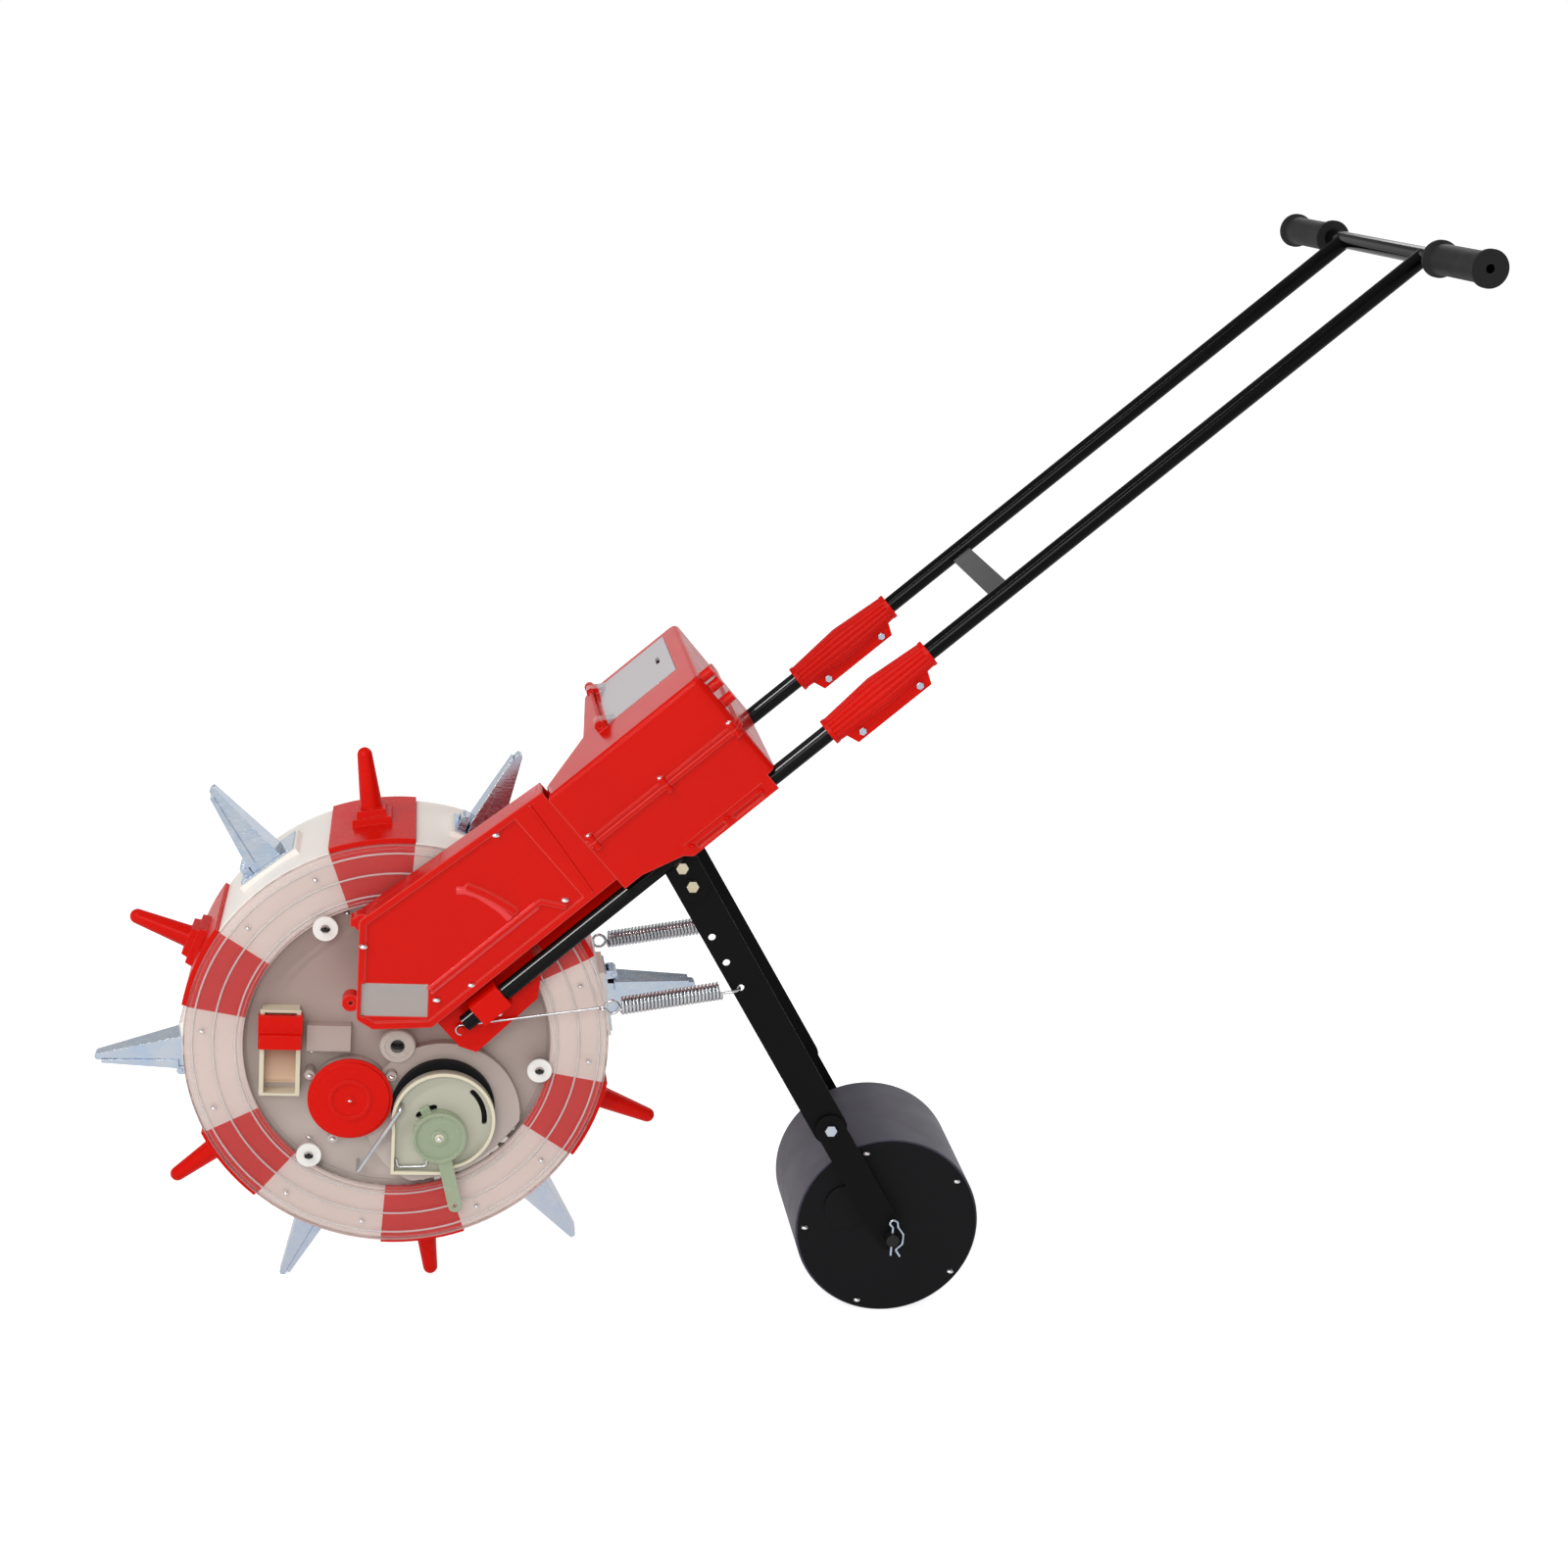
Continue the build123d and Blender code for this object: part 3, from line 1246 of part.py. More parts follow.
# Hopper: a base and a top that meet at a seam, with the chute's mouth in the front left corner
def hopper_outline(v, grow):
    """Plan outline of the hopper at the height v over the tubes, grown outwards by an even amount."""
    with BuildSketch(PLAN.offset(v)) as outline:
        with BuildLine():
            Polyline(
                (hopper_back, -hopper_half),
                (hopper_back, hopper_half),
                (hopper_front, hopper_half),
                (hopper_front - NECK_REACH, -NECK_IN),
                (mouth_u, MOUTH_CORNER - chute_inner),
                (mouth_u, -hopper_half),
                close=True,
            )
        make_face()
        round_corners = [c for c in outline.vertices() if c.X > mouth_u + HOPPER_WALL]
        fillet(round_corners, HOPPER_CORNER)
        if grow:
            offset(amount=grow, mode=Mode.REPLACE)
    return outline.sketch


hopper_low = TUBE_R + SEAT_GAP - RAIL_DROP
mouth_in = chute_inner + CHUTE_WALL
mouth_wide = chute_face - chute_inner - 2 * CHUTE_WALL
mouth_low = CHUTE_LOW_V + CHUTE_WALL
mouth_high = HOPPER_TOP - 2 * CHUTE_WALL
boss_out = hopper_half + HOPPER_BOSS_OUT
hopper_bosses = (
    mouth_u + HOPPER_BOSS_INSETS[0],
    hopper_front + HOPPER_BOSS_INSETS[1],
    hopper_back - HOPPER_BOSS_INSETS[2],
)
boss_spots = [(u, -boss_out) for u in hopper_bosses] + [(u, boss_out) for u in hopper_bosses[1:]]
slot_low = SKIRT_LOW + HOPPER_WALL
skirt_back = hopper_back - HOPPER_CORNER


def mouth_cut(low, high):
    """Opening through the hopper's front left wall into the chute, between two heights."""
    with BuildPart() as cut:
        with BuildSketch(RAIL.offset(mouth_in)):
            with Locations((mouth_u, low)):
                Rectangle(2 * HOPPER_WALL, high - low, align=(Align.CENTER, Align.MIN))
        extrude(amount=mouth_wide)
    return cut.part


def seam_trim():
    """Room for the chute, where the seam rib would stick out past the mouth."""
    with BuildPart() as trim:
        with BuildSketch(PLAN.offset(HOPPER_SEAM - 2 * SEAM_RIB[1])):
            with Locations((mouth_u, 0)):
                Rectangle(hopper_half, 3 * hopper_half, align=(Align.MAX, Align.CENTER))
        extrude(amount=4 * SEAM_RIB[1])
    return trim.part


with BuildPart() as hopper_base:
    extrude(hopper_outline(hopper_low, 0), amount=HOPPER_SEAM - hopper_low)
    extrude(hopper_outline(HOPPER_SEAM - SEAM_RIB[1], SEAM_RIB[0]), amount=SEAM_RIB[1])
    with BuildSketch(PLAN.offset(HOPPER_SEAM - HOPPER_BOSS_LONG)):
        with Locations(*boss_spots):
            Circle(HOPPER_BOSS_R)
    extrude(amount=HOPPER_BOSS_LONG)
    with BuildSketch(RAIL.offset(hopper_half - HOPPER_WALL)) as skirt:
        with BuildLine():
            Polyline(
                (mouth_u + SKIRT_FRONT, hopper_low + HOPPER_WALL),
                (mouth_u + SKIRT_STEP[0], SKIRT_STEP[1]),
                (mouth_u + SKIRT_FOOT, SKIRT_LOW),
                (skirt_back, SKIRT_LOW),
                (skirt_back, hopper_low + HOPPER_WALL),
                close=True,
            )
        make_face()
    extrude(amount=HOPPER_WALL)
    extrude(skirt.sketch.mirror(Plane.XY), amount=HOPPER_WALL, dir=(0, 0, -1))
    with BuildSketch(RAIL.offset(hopper_half)) as slots:
        for start, end in SKIRT_SLOTS:
            with Locations((hopper_back - start, slot_low)):
                Rectangle(start - end, SKIRT_SLOT_HIGH, align=Align.MIN)
    extrude(amount=-SKIRT_SLOT_DEEP, mode=Mode.SUBTRACT)
    extrude(slots.sketch.mirror(Plane.XY), amount=SKIRT_SLOT_DEEP, dir=(0, 0, 1), mode=Mode.SUBTRACT)
    extrude(
        hopper_outline(hopper_low + HOPPER_WALL, -HOPPER_WALL),
        amount=HOPPER_SEAM - hopper_low - HOPPER_WALL,
        mode=Mode.SUBTRACT,
    )
    add(mouth_cut(mouth_low, HOPPER_SEAM), mode=Mode.SUBTRACT)
    add(seam_trim(), mode=Mode.SUBTRACT)
keep(hopper_base, "hopper_base")

lid_pivot = (lid_span[0] - HOPPER_WALL, HOPPER_TOP + LID_KNUCKLE_R + 2 * RUN_GAP)
lid_centre = (sum(lid_span) / 2, -sum(LID_SIDES) / 2)
lid_long = lid_span[1] - lid_span[0]
lid_wide = LID_SIDES[1] - LID_SIDES[0]
ledge_low = HOPPER_TOP - 2 * LID_T
ear_starts = (LID_SIDES[0] - RUN_GAP - LID_EAR, LID_SIDES[1] + RUN_GAP)
with BuildPart() as hopper_top:
    extrude(hopper_outline(HOPPER_SEAM, 0), amount=HOPPER_TOP - HOPPER_SEAM)
    top_edges = faces().sort_by(Axis((0, 0, 0), square))[-1].outer_wire().edges()
    fillet(top_edges, HOPPER_EDGE)
    extrude(hopper_outline(HOPPER_SEAM, SEAM_RIB[0]), amount=SEAM_RIB[1])
    with BuildSketch(PLAN.offset(HOPPER_SEAM)):
        with Locations(*boss_spots):
            Circle(HOPPER_BOSS_R)
    extrude(amount=2 * SEAM_RIB[1])
    extrude(
        hopper_outline(HOPPER_SEAM, -HOPPER_WALL),
        amount=HOPPER_TOP - HOPPER_SEAM - HOPPER_WALL,
        mode=Mode.SUBTRACT,
    )
    with BuildSketch(PLAN.offset(ledge_low)):
        with Locations(lid_centre):
            Rectangle(lid_long + 2 * HOPPER_WALL, lid_wide + 2 * HOPPER_WALL)
    extrude(amount=2 * LID_T)
    with BuildSketch(PLAN.offset(HOPPER_TOP - LID_T)):
        with Locations(lid_centre):
            Rectangle(lid_long, lid_wide)
    extrude(amount=LID_T, mode=Mode.SUBTRACT)
    with BuildSketch(PLAN.offset(ledge_low)):
        with Locations(lid_centre):
            Rectangle(lid_long - 2 * LID_LEDGE, lid_wide - 2 * LID_LEDGE)
    extrude(amount=LID_T, mode=Mode.SUBTRACT)
    for ear_start in ear_starts:
        with BuildSketch(RAIL.offset(ear_start)):
            with Locations(lid_pivot):
                Circle(LID_EAR_R)
                Rectangle(2 * LID_EAR_R, lid_pivot[1] - HOPPER_TOP + 1, align=(Align.CENTER, Align.MAX))
                Circle(LID_PIN_R + SEAT_GAP, mode=Mode.SUBTRACT)
        extrude(amount=LID_EAR)
    add(mouth_cut(HOPPER_SEAM, mouth_high), mode=Mode.SUBTRACT)
    with BuildSketch(Plane(on_rail(hopper_back, 0) + (0,), x_dir=square, z_dir=along)):
        for height in KNOB_HEIGHTS:
            with Locations((height, hopper_half - KNOB_IN)):
                Circle(KNOB_R)
    extrude(amount=KNOB_LONG)
    add(seam_trim(), mode=Mode.SUBTRACT)
keep(hopper_top, "hopper_top")

with BuildPart() as lid_pin:
    with BuildSketch(RAIL.offset(ear_starts[0])):
        with Locations(lid_pivot):
            Circle(LID_PIN_R)
    extrude(amount=ear_starts[1] + LID_EAR - ear_starts[0])
keep(lid_pin, "lid_pin")

lid_low = HOPPER_TOP - LID_T + RUN_GAP / 2
lid_high = lid_low + LID_T
lid_front = lid_span[0] + RUN_GAP
knuckle_starts = (LID_SIDES[0] + RUN_GAP, LID_SIDES[1] - RUN_GAP - LID_KNUCKLE_LONG)
with BuildPart() as hopper_lid:
    with BuildSketch(PLAN.offset(lid_low)):
        with Locations(lid_centre):
            Rectangle(lid_long - 2 * RUN_GAP, lid_wide - 2 * RUN_GAP)
        with Locations((lid_span[1] - 2 * LID_LEDGE, -LID_SIDES[0] / 3)):
            Rectangle(LID_SLIT[0], LID_SLIT[1], mode=Mode.SUBTRACT)
    extrude(amount=LID_T)
    for knuckle_start in knuckle_starts:
        with BuildSketch(RAIL.offset(knuckle_start)):
            with Locations(lid_pivot):
                Circle(LID_KNUCKLE_R)
            with BuildLine():
                Polyline(
                    (lid_pivot[0], lid_pivot[1] + LID_KNUCKLE_R),
                    (lid_front + 4 * LID_T, lid_high),
                    (lid_front + 4 * LID_T, lid_low),
                    (lid_front, lid_low),
                    (lid_front, lid_pivot[1] - LID_KNUCKLE_R),
                    (lid_pivot[0], lid_pivot[1] - LID_KNUCKLE_R),
                    close=True,
                )
            make_face()
            with Locations(lid_pivot):
                Circle(LID_PIN_R + RUN_FIT, mode=Mode.SUBTRACT)
        extrude(amount=LID_KNUCKLE_LONG)
keep(hopper_lid, "hopper_lid")

# Chute: a back and a cover that meet on the tube's plane, from the hopper's mouth down to the seed box
chute_lift = chute_join - chute_inner


def chute_outline(z, shrink):
    """Side outline of the chute at z, or its hollow, which runs out into the hopper's mouth."""
    with BuildSketch(side(z)) as outline:
        with BuildLine():
            Polyline(
                (CHUTE_FRONT_X, CHUTE_TOP_LEFT),
                on_rail(mouth_u, CHUTE_TOP_V),
                on_rail(mouth_u, CHUTE_LOW_V),
                on_rail(CHUTE_LOW_U, CHUTE_LOW_V),
                CHUTE_TOE,
                (CHUTE_FRONT_X, CHUTE_HEEL),
                close=True,
            )
        make_face()
        free_corners = [c for c in outline.vertices() if c.X < CHUTE_LOW_U]
        fillet(free_corners, CHUTE_CORNER)
        if shrink:
            offset(amount=-shrink, mode=Mode.REPLACE)
            mouth_middle = on_rail(mouth_u, (mouth_low + CHUTE_TOP_V - CHUTE_WALL) / 2)
            with Locations(Location((*mouth_middle, 0), (0, 0, RAIL_ANGLE))):
                Rectangle(4 * CHUTE_WALL, CHUTE_TOP_V - CHUTE_WALL - mouth_low)
    return outline.sketch


with BuildPart() as chute_back:
    extrude(chute_outline(chute_inner, 0), amount=chute_lift)
    extrude(chute_outline(chute_inner + CHUTE_WALL, CHUTE_WALL), amount=chute_lift, mode=Mode.SUBTRACT)
    with BuildSketch(side(plate_face + SEAT_GAP)):
        with Locations(THROAT_AT):
            Rectangle(THROAT[0] + 2 * CHUTE_WALL, THROAT[1] + 2 * CHUTE_WALL)
    extrude(amount=chute_inner - plate_face)
    with BuildSketch(side(plate_face)):
        with Locations(THROAT_AT):
            Rectangle(*THROAT)
    extrude(amount=chute_inner + CHUTE_WALL - plate_face, mode=Mode.SUBTRACT)
    with BuildSketch(RAIL.offset(chute_inner)):
        with Locations((CHUTE_APRON[0], CHUTE_APRON[1])):
            Rectangle(
                mouth_u - CHUTE_APRON[0],
                CHUTE_LOW_V + CHUTE_WALL / 2 - CHUTE_APRON[1],
                align=(Align.MIN, Align.MIN),
            )
    extrude(amount=CHUTE_APRON[2])
keep(chute_back, "chute_back")

# The cover's relief: a border, a collar at the hopper, a ridge round the drum and a ledge over the tube
arc_r, arc_from, arc_span, arc_wide = ARC_RIDGE
with BuildPart() as chute_relief:
    extrude(chute_outline(chute_face, 0), amount=CHUTE_RELIEF)
    with BuildSketch(side(chute_face)):
        add(chute_outline(0, 0))
        offset(amount=-CHUTE_BORDER, mode=Mode.REPLACE)
    extrude(amount=CHUTE_RELIEF, mode=Mode.SUBTRACT)
    with BuildSketch(RAIL.offset(chute_face)):
        with Locations((mouth_u, CHUTE_LOW_V)):
            Rectangle(COLLAR_WIDE, CHUTE_TOP_V - CHUTE_LOW_V, align=(Align.MAX, Align.MIN))
    extrude(amount=CHUTE_RELIEF)
    with BuildSketch(side(chute_face)):
        with BuildLine() as arc_line:
            CenterArc((0, 0), arc_r + arc_wide / 2, arc_from, arc_span)
        SlotArc(arc_line.edge(), arc_wide)
    extrude(amount=CHUTE_RELIEF)
    with BuildSketch(RAIL.offset(chute_face)):
        with BuildLine() as ledge_line:
            Polyline(*LEDGE)
        trace(ledge_line.line, LEDGE_WIDE)
    extrude(amount=CHUTE_RELIEF)

with BuildPart() as chute_cover:
    extrude(chute_outline(chute_join, 0), amount=chute_face - chute_join)
    with BuildSketch(side(chute_join)):
        for ear_x, ear_y in CHUTE_EARS:
            with Locations((ear_x, ear_y)):
                Circle(CHUTE_EAR_R)
            with Locations((CHUTE_FRONT_X, ear_y)):
                Rectangle(2 * CHUTE_EAR_R, CHUTE_EAR_R)
    extrude(amount=chute_face - chute_join)
    add(chute_relief.part)
    extrude(
        chute_outline(chute_join, CHUTE_WALL),
        amount=chute_face - chute_join - CHUTE_WALL,
        mode=Mode.SUBTRACT,
    )
    with BuildSketch(side(chute_face - CHUTE_WALL)):
        with Locations(WINDOW_AT):
            Rectangle(WINDOW[0] + 2 * SEAT_GAP, WINDOW[1] + 2 * SEAT_GAP)
    extrude(amount=CHUTE_WALL + CHUTE_RELIEF, mode=Mode.SUBTRACT)
    with BuildSketch(side(chute_join)):
        with Locations(*CHUTE_EARS):
            Circle(CHUTE_EAR_HOLE_R)
    extrude(amount=chute_face - chute_join, mode=Mode.SUBTRACT)
keep(chute_cover, "chute_cover")

with BuildPart() as chute_window:
    with BuildSketch(side(chute_face - CHUTE_WALL)):
        with Locations(WINDOW_AT):
            Rectangle(*WINDOW)
    extrude(amount=CHUTE_WALL)
keep(chute_window, "chute_window")

# Press arms, each an upper plate and a lower strip, with their bolts
strip_face = arm_face + ARM_T
with BuildPart() as left_arm:
    with BuildSketch(arm_side(arm_back)):
        with Locations((ARM_JOINT / 2, 0)):
            SlotCenterToCenter(ARM_JOINT, ARM_WIDE)
        Circle(BOLT_R + RUN_FIT, mode=Mode.SUBTRACT)
        with Locations((ARM_JOINT, 0)):
            Circle(BOLT_R + SEAT_GAP, mode=Mode.SUBTRACT)
        for hole in ARM_HOLES:
            with Locations((hole, -ARM_HOLE_SIDE)):
                Circle(ARM_HOLE_R, mode=Mode.SUBTRACT)
        with BuildLine() as stop_line:
            CenterArc((0, 0), STOP_AT, -STOP_SWING, STOP_SWING)
        SlotArc(stop_line.edge(), 2 * (BOLT_R + RUN_GAP), mode=Mode.SUBTRACT)
    extrude(amount=ARM_T)
keep(left_arm, "left_arm")

with BuildPart() as right_arm:
    mirror(left_arm.part, about=Plane.XY)
keep(right_arm, "right_arm")

with BuildPart() as arm_strips:
    with BuildSketch(arm_side(arm_face)):
        with Locations(((ARM_JOINT + arm_reach) / 2, 0)):
            SlotCenterToCenter(arm_reach - ARM_JOINT, STRIP_WIDE)
        with Locations((ARM_JOINT, 0)):
            Circle(BOLT_R + SEAT_GAP, mode=Mode.SUBTRACT)
        with Locations((arm_reach, 0)):
            Circle(AXLE_END_R + SEAT_GAP, mode=Mode.SUBTRACT)
    extrude(amount=ARM_T)
    mirror(about=Plane.XY)
keep(arm_strips, "arm_strips")


def bolt_pair(spots, nut_face, head_face):
    """Bolts through a side plate: hex head outside on head_face, nut inside on nut_face, and both sides."""
    with BuildPart() as bolts:
        with BuildSketch(arm_side(nut_face - BOLT_HEAD_HIGH)):
            with Locations(*spots):
                Circle(BOLT_R)
        extrude(amount=head_face - nut_face + BOLT_HEAD_HIGH)
        with BuildSketch(arm_side(head_face)):
            with Locations(*spots):
                RegularPolygon(BOLT_HEAD_R, 6)
        extrude(amount=BOLT_HEAD_HIGH)
        with BuildSketch(arm_side(nut_face)):
            with Locations(*spots):
                RegularPolygon(BOLT_HEAD_R, 6)
        extrude(amount=-BOLT_HEAD_HIGH)
        mirror(about=Plane.XY)
    return bolts


keep(bolt_pair([(ARM_JOINT, 0)], arm_back, strip_face), "arm_bolts")
keep(bolt_pair([(0, 0), (STOP_AT, 0)], arm_back - RUN_GAP, lug_face), "pivot_bolts")


# Press roller on a standing axle
def roller_side(z):
    """Side-view plane with its middle on the press roller's axle."""
    return Plane((*roller_centre, z))


barrel_half = ROLLER_HALF - END_DISC_T
end_disc_r = ROLLER_R - END_DISC_INSET
with BuildPart() as roller_barrel:
    with BuildSketch(roller_side(-barrel_half)):
        Circle(ROLLER_R)
        Circle(ROLLER_R - ROLLER_WALL, mode=Mode.SUBTRACT)
    extrude(amount=2 * barrel_half)
keep(roller_barrel, "roller_barrel")

with BuildPart() as end_discs:
    with BuildSketch(roller_side(barrel_half)):
        Circle(end_disc_r)
        Circle(AXLE_R + RUN_FIT, mode=Mode.SUBTRACT)
    extrude(amount=END_DISC_T)
    mirror(about=Plane.XY)
    with BuildSketch(roller_side(barrel_half)):
        with Locations(PLUG_AT):
            Circle(PLUG_R - PLUG_RIM)
    extrude(amount=END_DISC_T, mode=Mode.SUBTRACT)
keep(end_discs, "end_discs")

with BuildPart() as filler_plug:
    with BuildSketch(roller_side(ROLLER_HALF)):
        with Locations(PLUG_AT):
            Circle(PLUG_R)
    extrude(amount=PLUG_RIM)
    with BuildSketch(roller_side(ROLLER_HALF)):
        with Locations(PLUG_AT):
            Circle(PLUG_R - PLUG_RIM - SEAT_GAP)
    extrude(amount=-2 * END_DISC_T)
keep(filler_plug, "filler_plug")

axle_shoulder = arm_face - RUN_GAP
split_pin_at = strip_face + SPLIT_PIN_OUT
axle_half = split_pin_at + AXLE_END
with BuildPart() as roller_axle:
    with BuildSketch(roller_side(-axle_shoulder)):
        Circle(AXLE_R)
    extrude(amount=2 * axle_shoulder)
    with BuildSketch(roller_side(-axle_half)):
        Circle(AXLE_END_R)
    extrude(amount=2 * axle_half)
    for end in (-split_pin_at, split_pin_at):
        with Locations(Location((*roller_centre, end), (90, 0, 0))):
            Cylinder(SPLIT_PIN_R + SEAT_GAP, 4 * AXLE_END_R, mode=Mode.SUBTRACT)
keep(roller_axle, "roller_axle")

with BuildPart() as roller_spacers:
    with BuildSketch(roller_side(ROLLER_HALF + RUN_GAP)):
        Circle(SPACER_TUBE_R)
        Circle(AXLE_R + SEAT_GAP, mode=Mode.SUBTRACT)
    extrude(amount=arm_face - ROLLER_HALF - RUN_GAP)
    mirror(about=Plane.XY)
keep(roller_spacers, "roller_spacers")

pin_long = 3 * AXLE_END_R
eye_lift = pin_long / 2 + 2 * SPLIT_PIN_R
with BuildPart() as split_pins:
    for end in (-split_pin_at, split_pin_at):
        with Locations(Location((*roller_centre, end), (90, 0, 0))):
            Cylinder(SPLIT_PIN_R, pin_long)
        with BuildSketch(roller_side(end - SPLIT_PIN_R / 2)):
            with Locations((0, eye_lift)):
                Circle(3 * SPLIT_PIN_R)
                Circle(SPLIT_PIN_R, mode=Mode.SUBTRACT)
        extrude(amount=SPLIT_PIN_R)
keep(split_pins, "split_pins")

# Tension springs, each one unbroken wire: a hook round the bracket's pin, the coil, and a hook in the arm
spring_at = (arm_back + arm_face) / 2
arm_hole = arm_side(spring_at).from_local_coords((ARM_HOLES[-1], -ARM_HOLE_SIDE, 0))
anchor = Vector(*SPRING_ANCHOR, spring_at)
pull = (arm_hole - anchor).normalized()
across = pull.cross(Vector(0, 0, 1))
outward = Vector(0, 0, 1)
hook_r = ANCHOR_R + SPRING_WIRE_R + RUN_GAP
hook_end = (arm_hole - anchor).length - (ARM_HOLE_R - SPRING_WIRE_R - RUN_GAP)
coil_end = hook_end - SPRING_R - SPRING_TAIL
coil_start = coil_end - SPRING_PITCH * SPRING_TURNS - 2 * SPRING_LEAD


def coil_point(turns):
    """Point and direction on the coil after so many turns from its start."""
    angle = 2 * pi * turns
    if turns <= 0.25:
        run = coil_start + SPRING_LEAD
    else:
        run = coil_start + SPRING_LEAD + SPRING_PITCH * (turns - 0.25)
    arm = across * cos(angle) + outward * sin(angle)
    turn_way = outward * cos(angle) - across * sin(angle)
    slope = SPRING_PITCH / (2 * pi * SPRING_R)
    return anchor + pull * run + arm * SPRING_R, (turn_way + pull * slope).normalized()


def biarc(start, start_way, end, end_way):
    """Two arcs that leave start and reach end in the given directions and meet smoothly."""
    gap = end - start
    both = start_way + end_way
    curl = 2 * (1 - start_way.dot(end_way))
    if curl < 1e-6:
        reach = gap.dot(gap) / (4 * gap.dot(start_way))
    else:
        reach = (sqrt(gap.dot(both) ** 2 + curl * gap.dot(gap)) - gap.dot(both)) / curl
    first = start + start_way * reach
    last = end - end_way * reach
    middle = (first + last) * 0.5
    TangentArc(start, middle, tangent=start_way)
    TangentArc(middle, end, tangent=last - first)


lead_in = anchor + pull * coil_start + across * SPRING_R
lead_out = anchor + pull * coil_end + outward * SPRING_R
bend_start = anchor + pull * (hook_end - SPRING_R) + outward * SPRING_R
bend_middle = anchor + pull * hook_end
bend_end = anchor + pull * (hook_end - SPRING_R) - outward * SPRING_R
with BuildLine() as spring_line:
    TangentArc(anchor - across * hook_r, anchor - pull * hook_r, tangent=-pull)
    TangentArc(anchor - pull * hook_r, anchor + across * hook_r, tangent=across)
    biarc(anchor + across * hook_r, pull, lead_in, pull)
    point, way = coil_point(0.25)
    biarc(lead_in, pull, point, way)
    for half_turn in range(1, 2 * SPRING_TURNS + 1):
        next_point, next_way = coil_point(0.25 + half_turn / 2)
        biarc(point, way, next_point, next_way)
        point, way = next_point, next_way
    biarc(point, way, lead_out, pull)
    Line(lead_out, bend_start)
    TangentArc(bend_start, bend_middle, tangent=pull)
    TangentArc(bend_middle, bend_end, tangent=-outward)

with BuildPart() as left_spring:
    with BuildSketch(Plane(anchor - across * hook_r, z_dir=-pull)):
        RegularPolygon(SPRING_WIRE_R, 6)
    sweep(path=spring_line.wire())
keep(left_spring, "left_spring")

with BuildPart() as right_spring:
    mirror(left_spring.part, about=Plane.XY)
keep(right_spring, "right_spring")

# Least gap between one stretch of the spring's wire and the next, measured on points along it
wire_line = spring_line.wire()
wire_points = [tuple(wire_line.position_at(k / SPRING_POINTS)) for k in range(SPRING_POINTS + 1)]
apart = ceil(4 * SPRING_WIRE_R * SPRING_POINTS / wire_line.length)
least = min(
    dist(wire_points[i], wire_points[j])
    for i in range(SPRING_POINTS)
    for j in range(i + apart, min(i + 4 * apart + SPRING_POINTS // SPRING_TURNS, SPRING_POINTS))
)
print("least gap in the spring:", round(least - 2 * SPRING_WIRE_R, 2))
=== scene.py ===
# %% [markdown]
# # A walk-behind seed planter
# This planter is pushed by its handle: a drum rolls along and its six steel bills punch holes and
# drop seed in them, while a roller behind presses the soil back. The shapes come from CAD as a fixed
# frame. This script adds what CAD leaves out: finishes, wound springs, screws, light and a camera.

# %% Load the CAD frame
import json
import math

import bmesh
import bpy
from mathutils import Matrix, Vector


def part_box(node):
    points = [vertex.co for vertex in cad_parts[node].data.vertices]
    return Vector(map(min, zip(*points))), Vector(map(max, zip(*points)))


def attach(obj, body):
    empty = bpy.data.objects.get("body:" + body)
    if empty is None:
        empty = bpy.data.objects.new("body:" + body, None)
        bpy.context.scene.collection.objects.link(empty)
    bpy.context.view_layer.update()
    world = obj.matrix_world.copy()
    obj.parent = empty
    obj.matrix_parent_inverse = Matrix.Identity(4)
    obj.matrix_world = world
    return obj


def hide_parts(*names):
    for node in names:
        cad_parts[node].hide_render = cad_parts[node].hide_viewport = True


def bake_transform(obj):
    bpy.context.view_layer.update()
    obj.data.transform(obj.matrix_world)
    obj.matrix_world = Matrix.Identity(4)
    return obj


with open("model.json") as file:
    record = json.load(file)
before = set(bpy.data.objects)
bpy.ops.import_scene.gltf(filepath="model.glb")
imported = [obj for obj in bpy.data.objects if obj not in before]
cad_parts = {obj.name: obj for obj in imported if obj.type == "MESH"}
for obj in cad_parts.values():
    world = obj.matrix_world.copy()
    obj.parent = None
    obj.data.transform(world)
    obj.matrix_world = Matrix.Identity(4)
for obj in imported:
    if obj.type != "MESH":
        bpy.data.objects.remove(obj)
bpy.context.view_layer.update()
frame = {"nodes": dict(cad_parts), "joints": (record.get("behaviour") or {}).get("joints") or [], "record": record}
joint_at = {j["name"]: Vector(j["pos_m"]) for j in frame["joints"] if "pos_m" in j}
drum_centre = joint_at["drum_spin"]
print("nodes:", len(frame["nodes"]), "drum centre:", tuple(drum_centre))

# %% [markdown]
# ## One way to say where things are
# On the drawing board it is easiest to measure from the drum's axle, in millimetres: so far back, so
# far up, and so far out to the operator's left. The hopper and the tubes slope, so they have a second
# way: so far along the rail and so far above it. These helpers turn both into Blender's metres.

# %% Places measured from the drum's axle
MM = 0.001
RAIL_SLOPE = math.radians(42.32)


def place(back, up, out):
    """Point so many millimetres back, up and out from the middle of the drum."""
    return drum_centre + Vector((back, -out, up)) * MM


def on_rail(along, above):
    """How far back and up a point is that lies so far along the sloping rail and above it."""
    back = along * math.cos(RAIL_SLOPE) - above * math.sin(RAIL_SLOPE)
    up = along * math.sin(RAIL_SLOPE) + above * math.cos(RAIL_SLOPE)
    return back, up


print("drum axle on the left side:", tuple(round(v, 4) for v in place(0, 0, 75)))

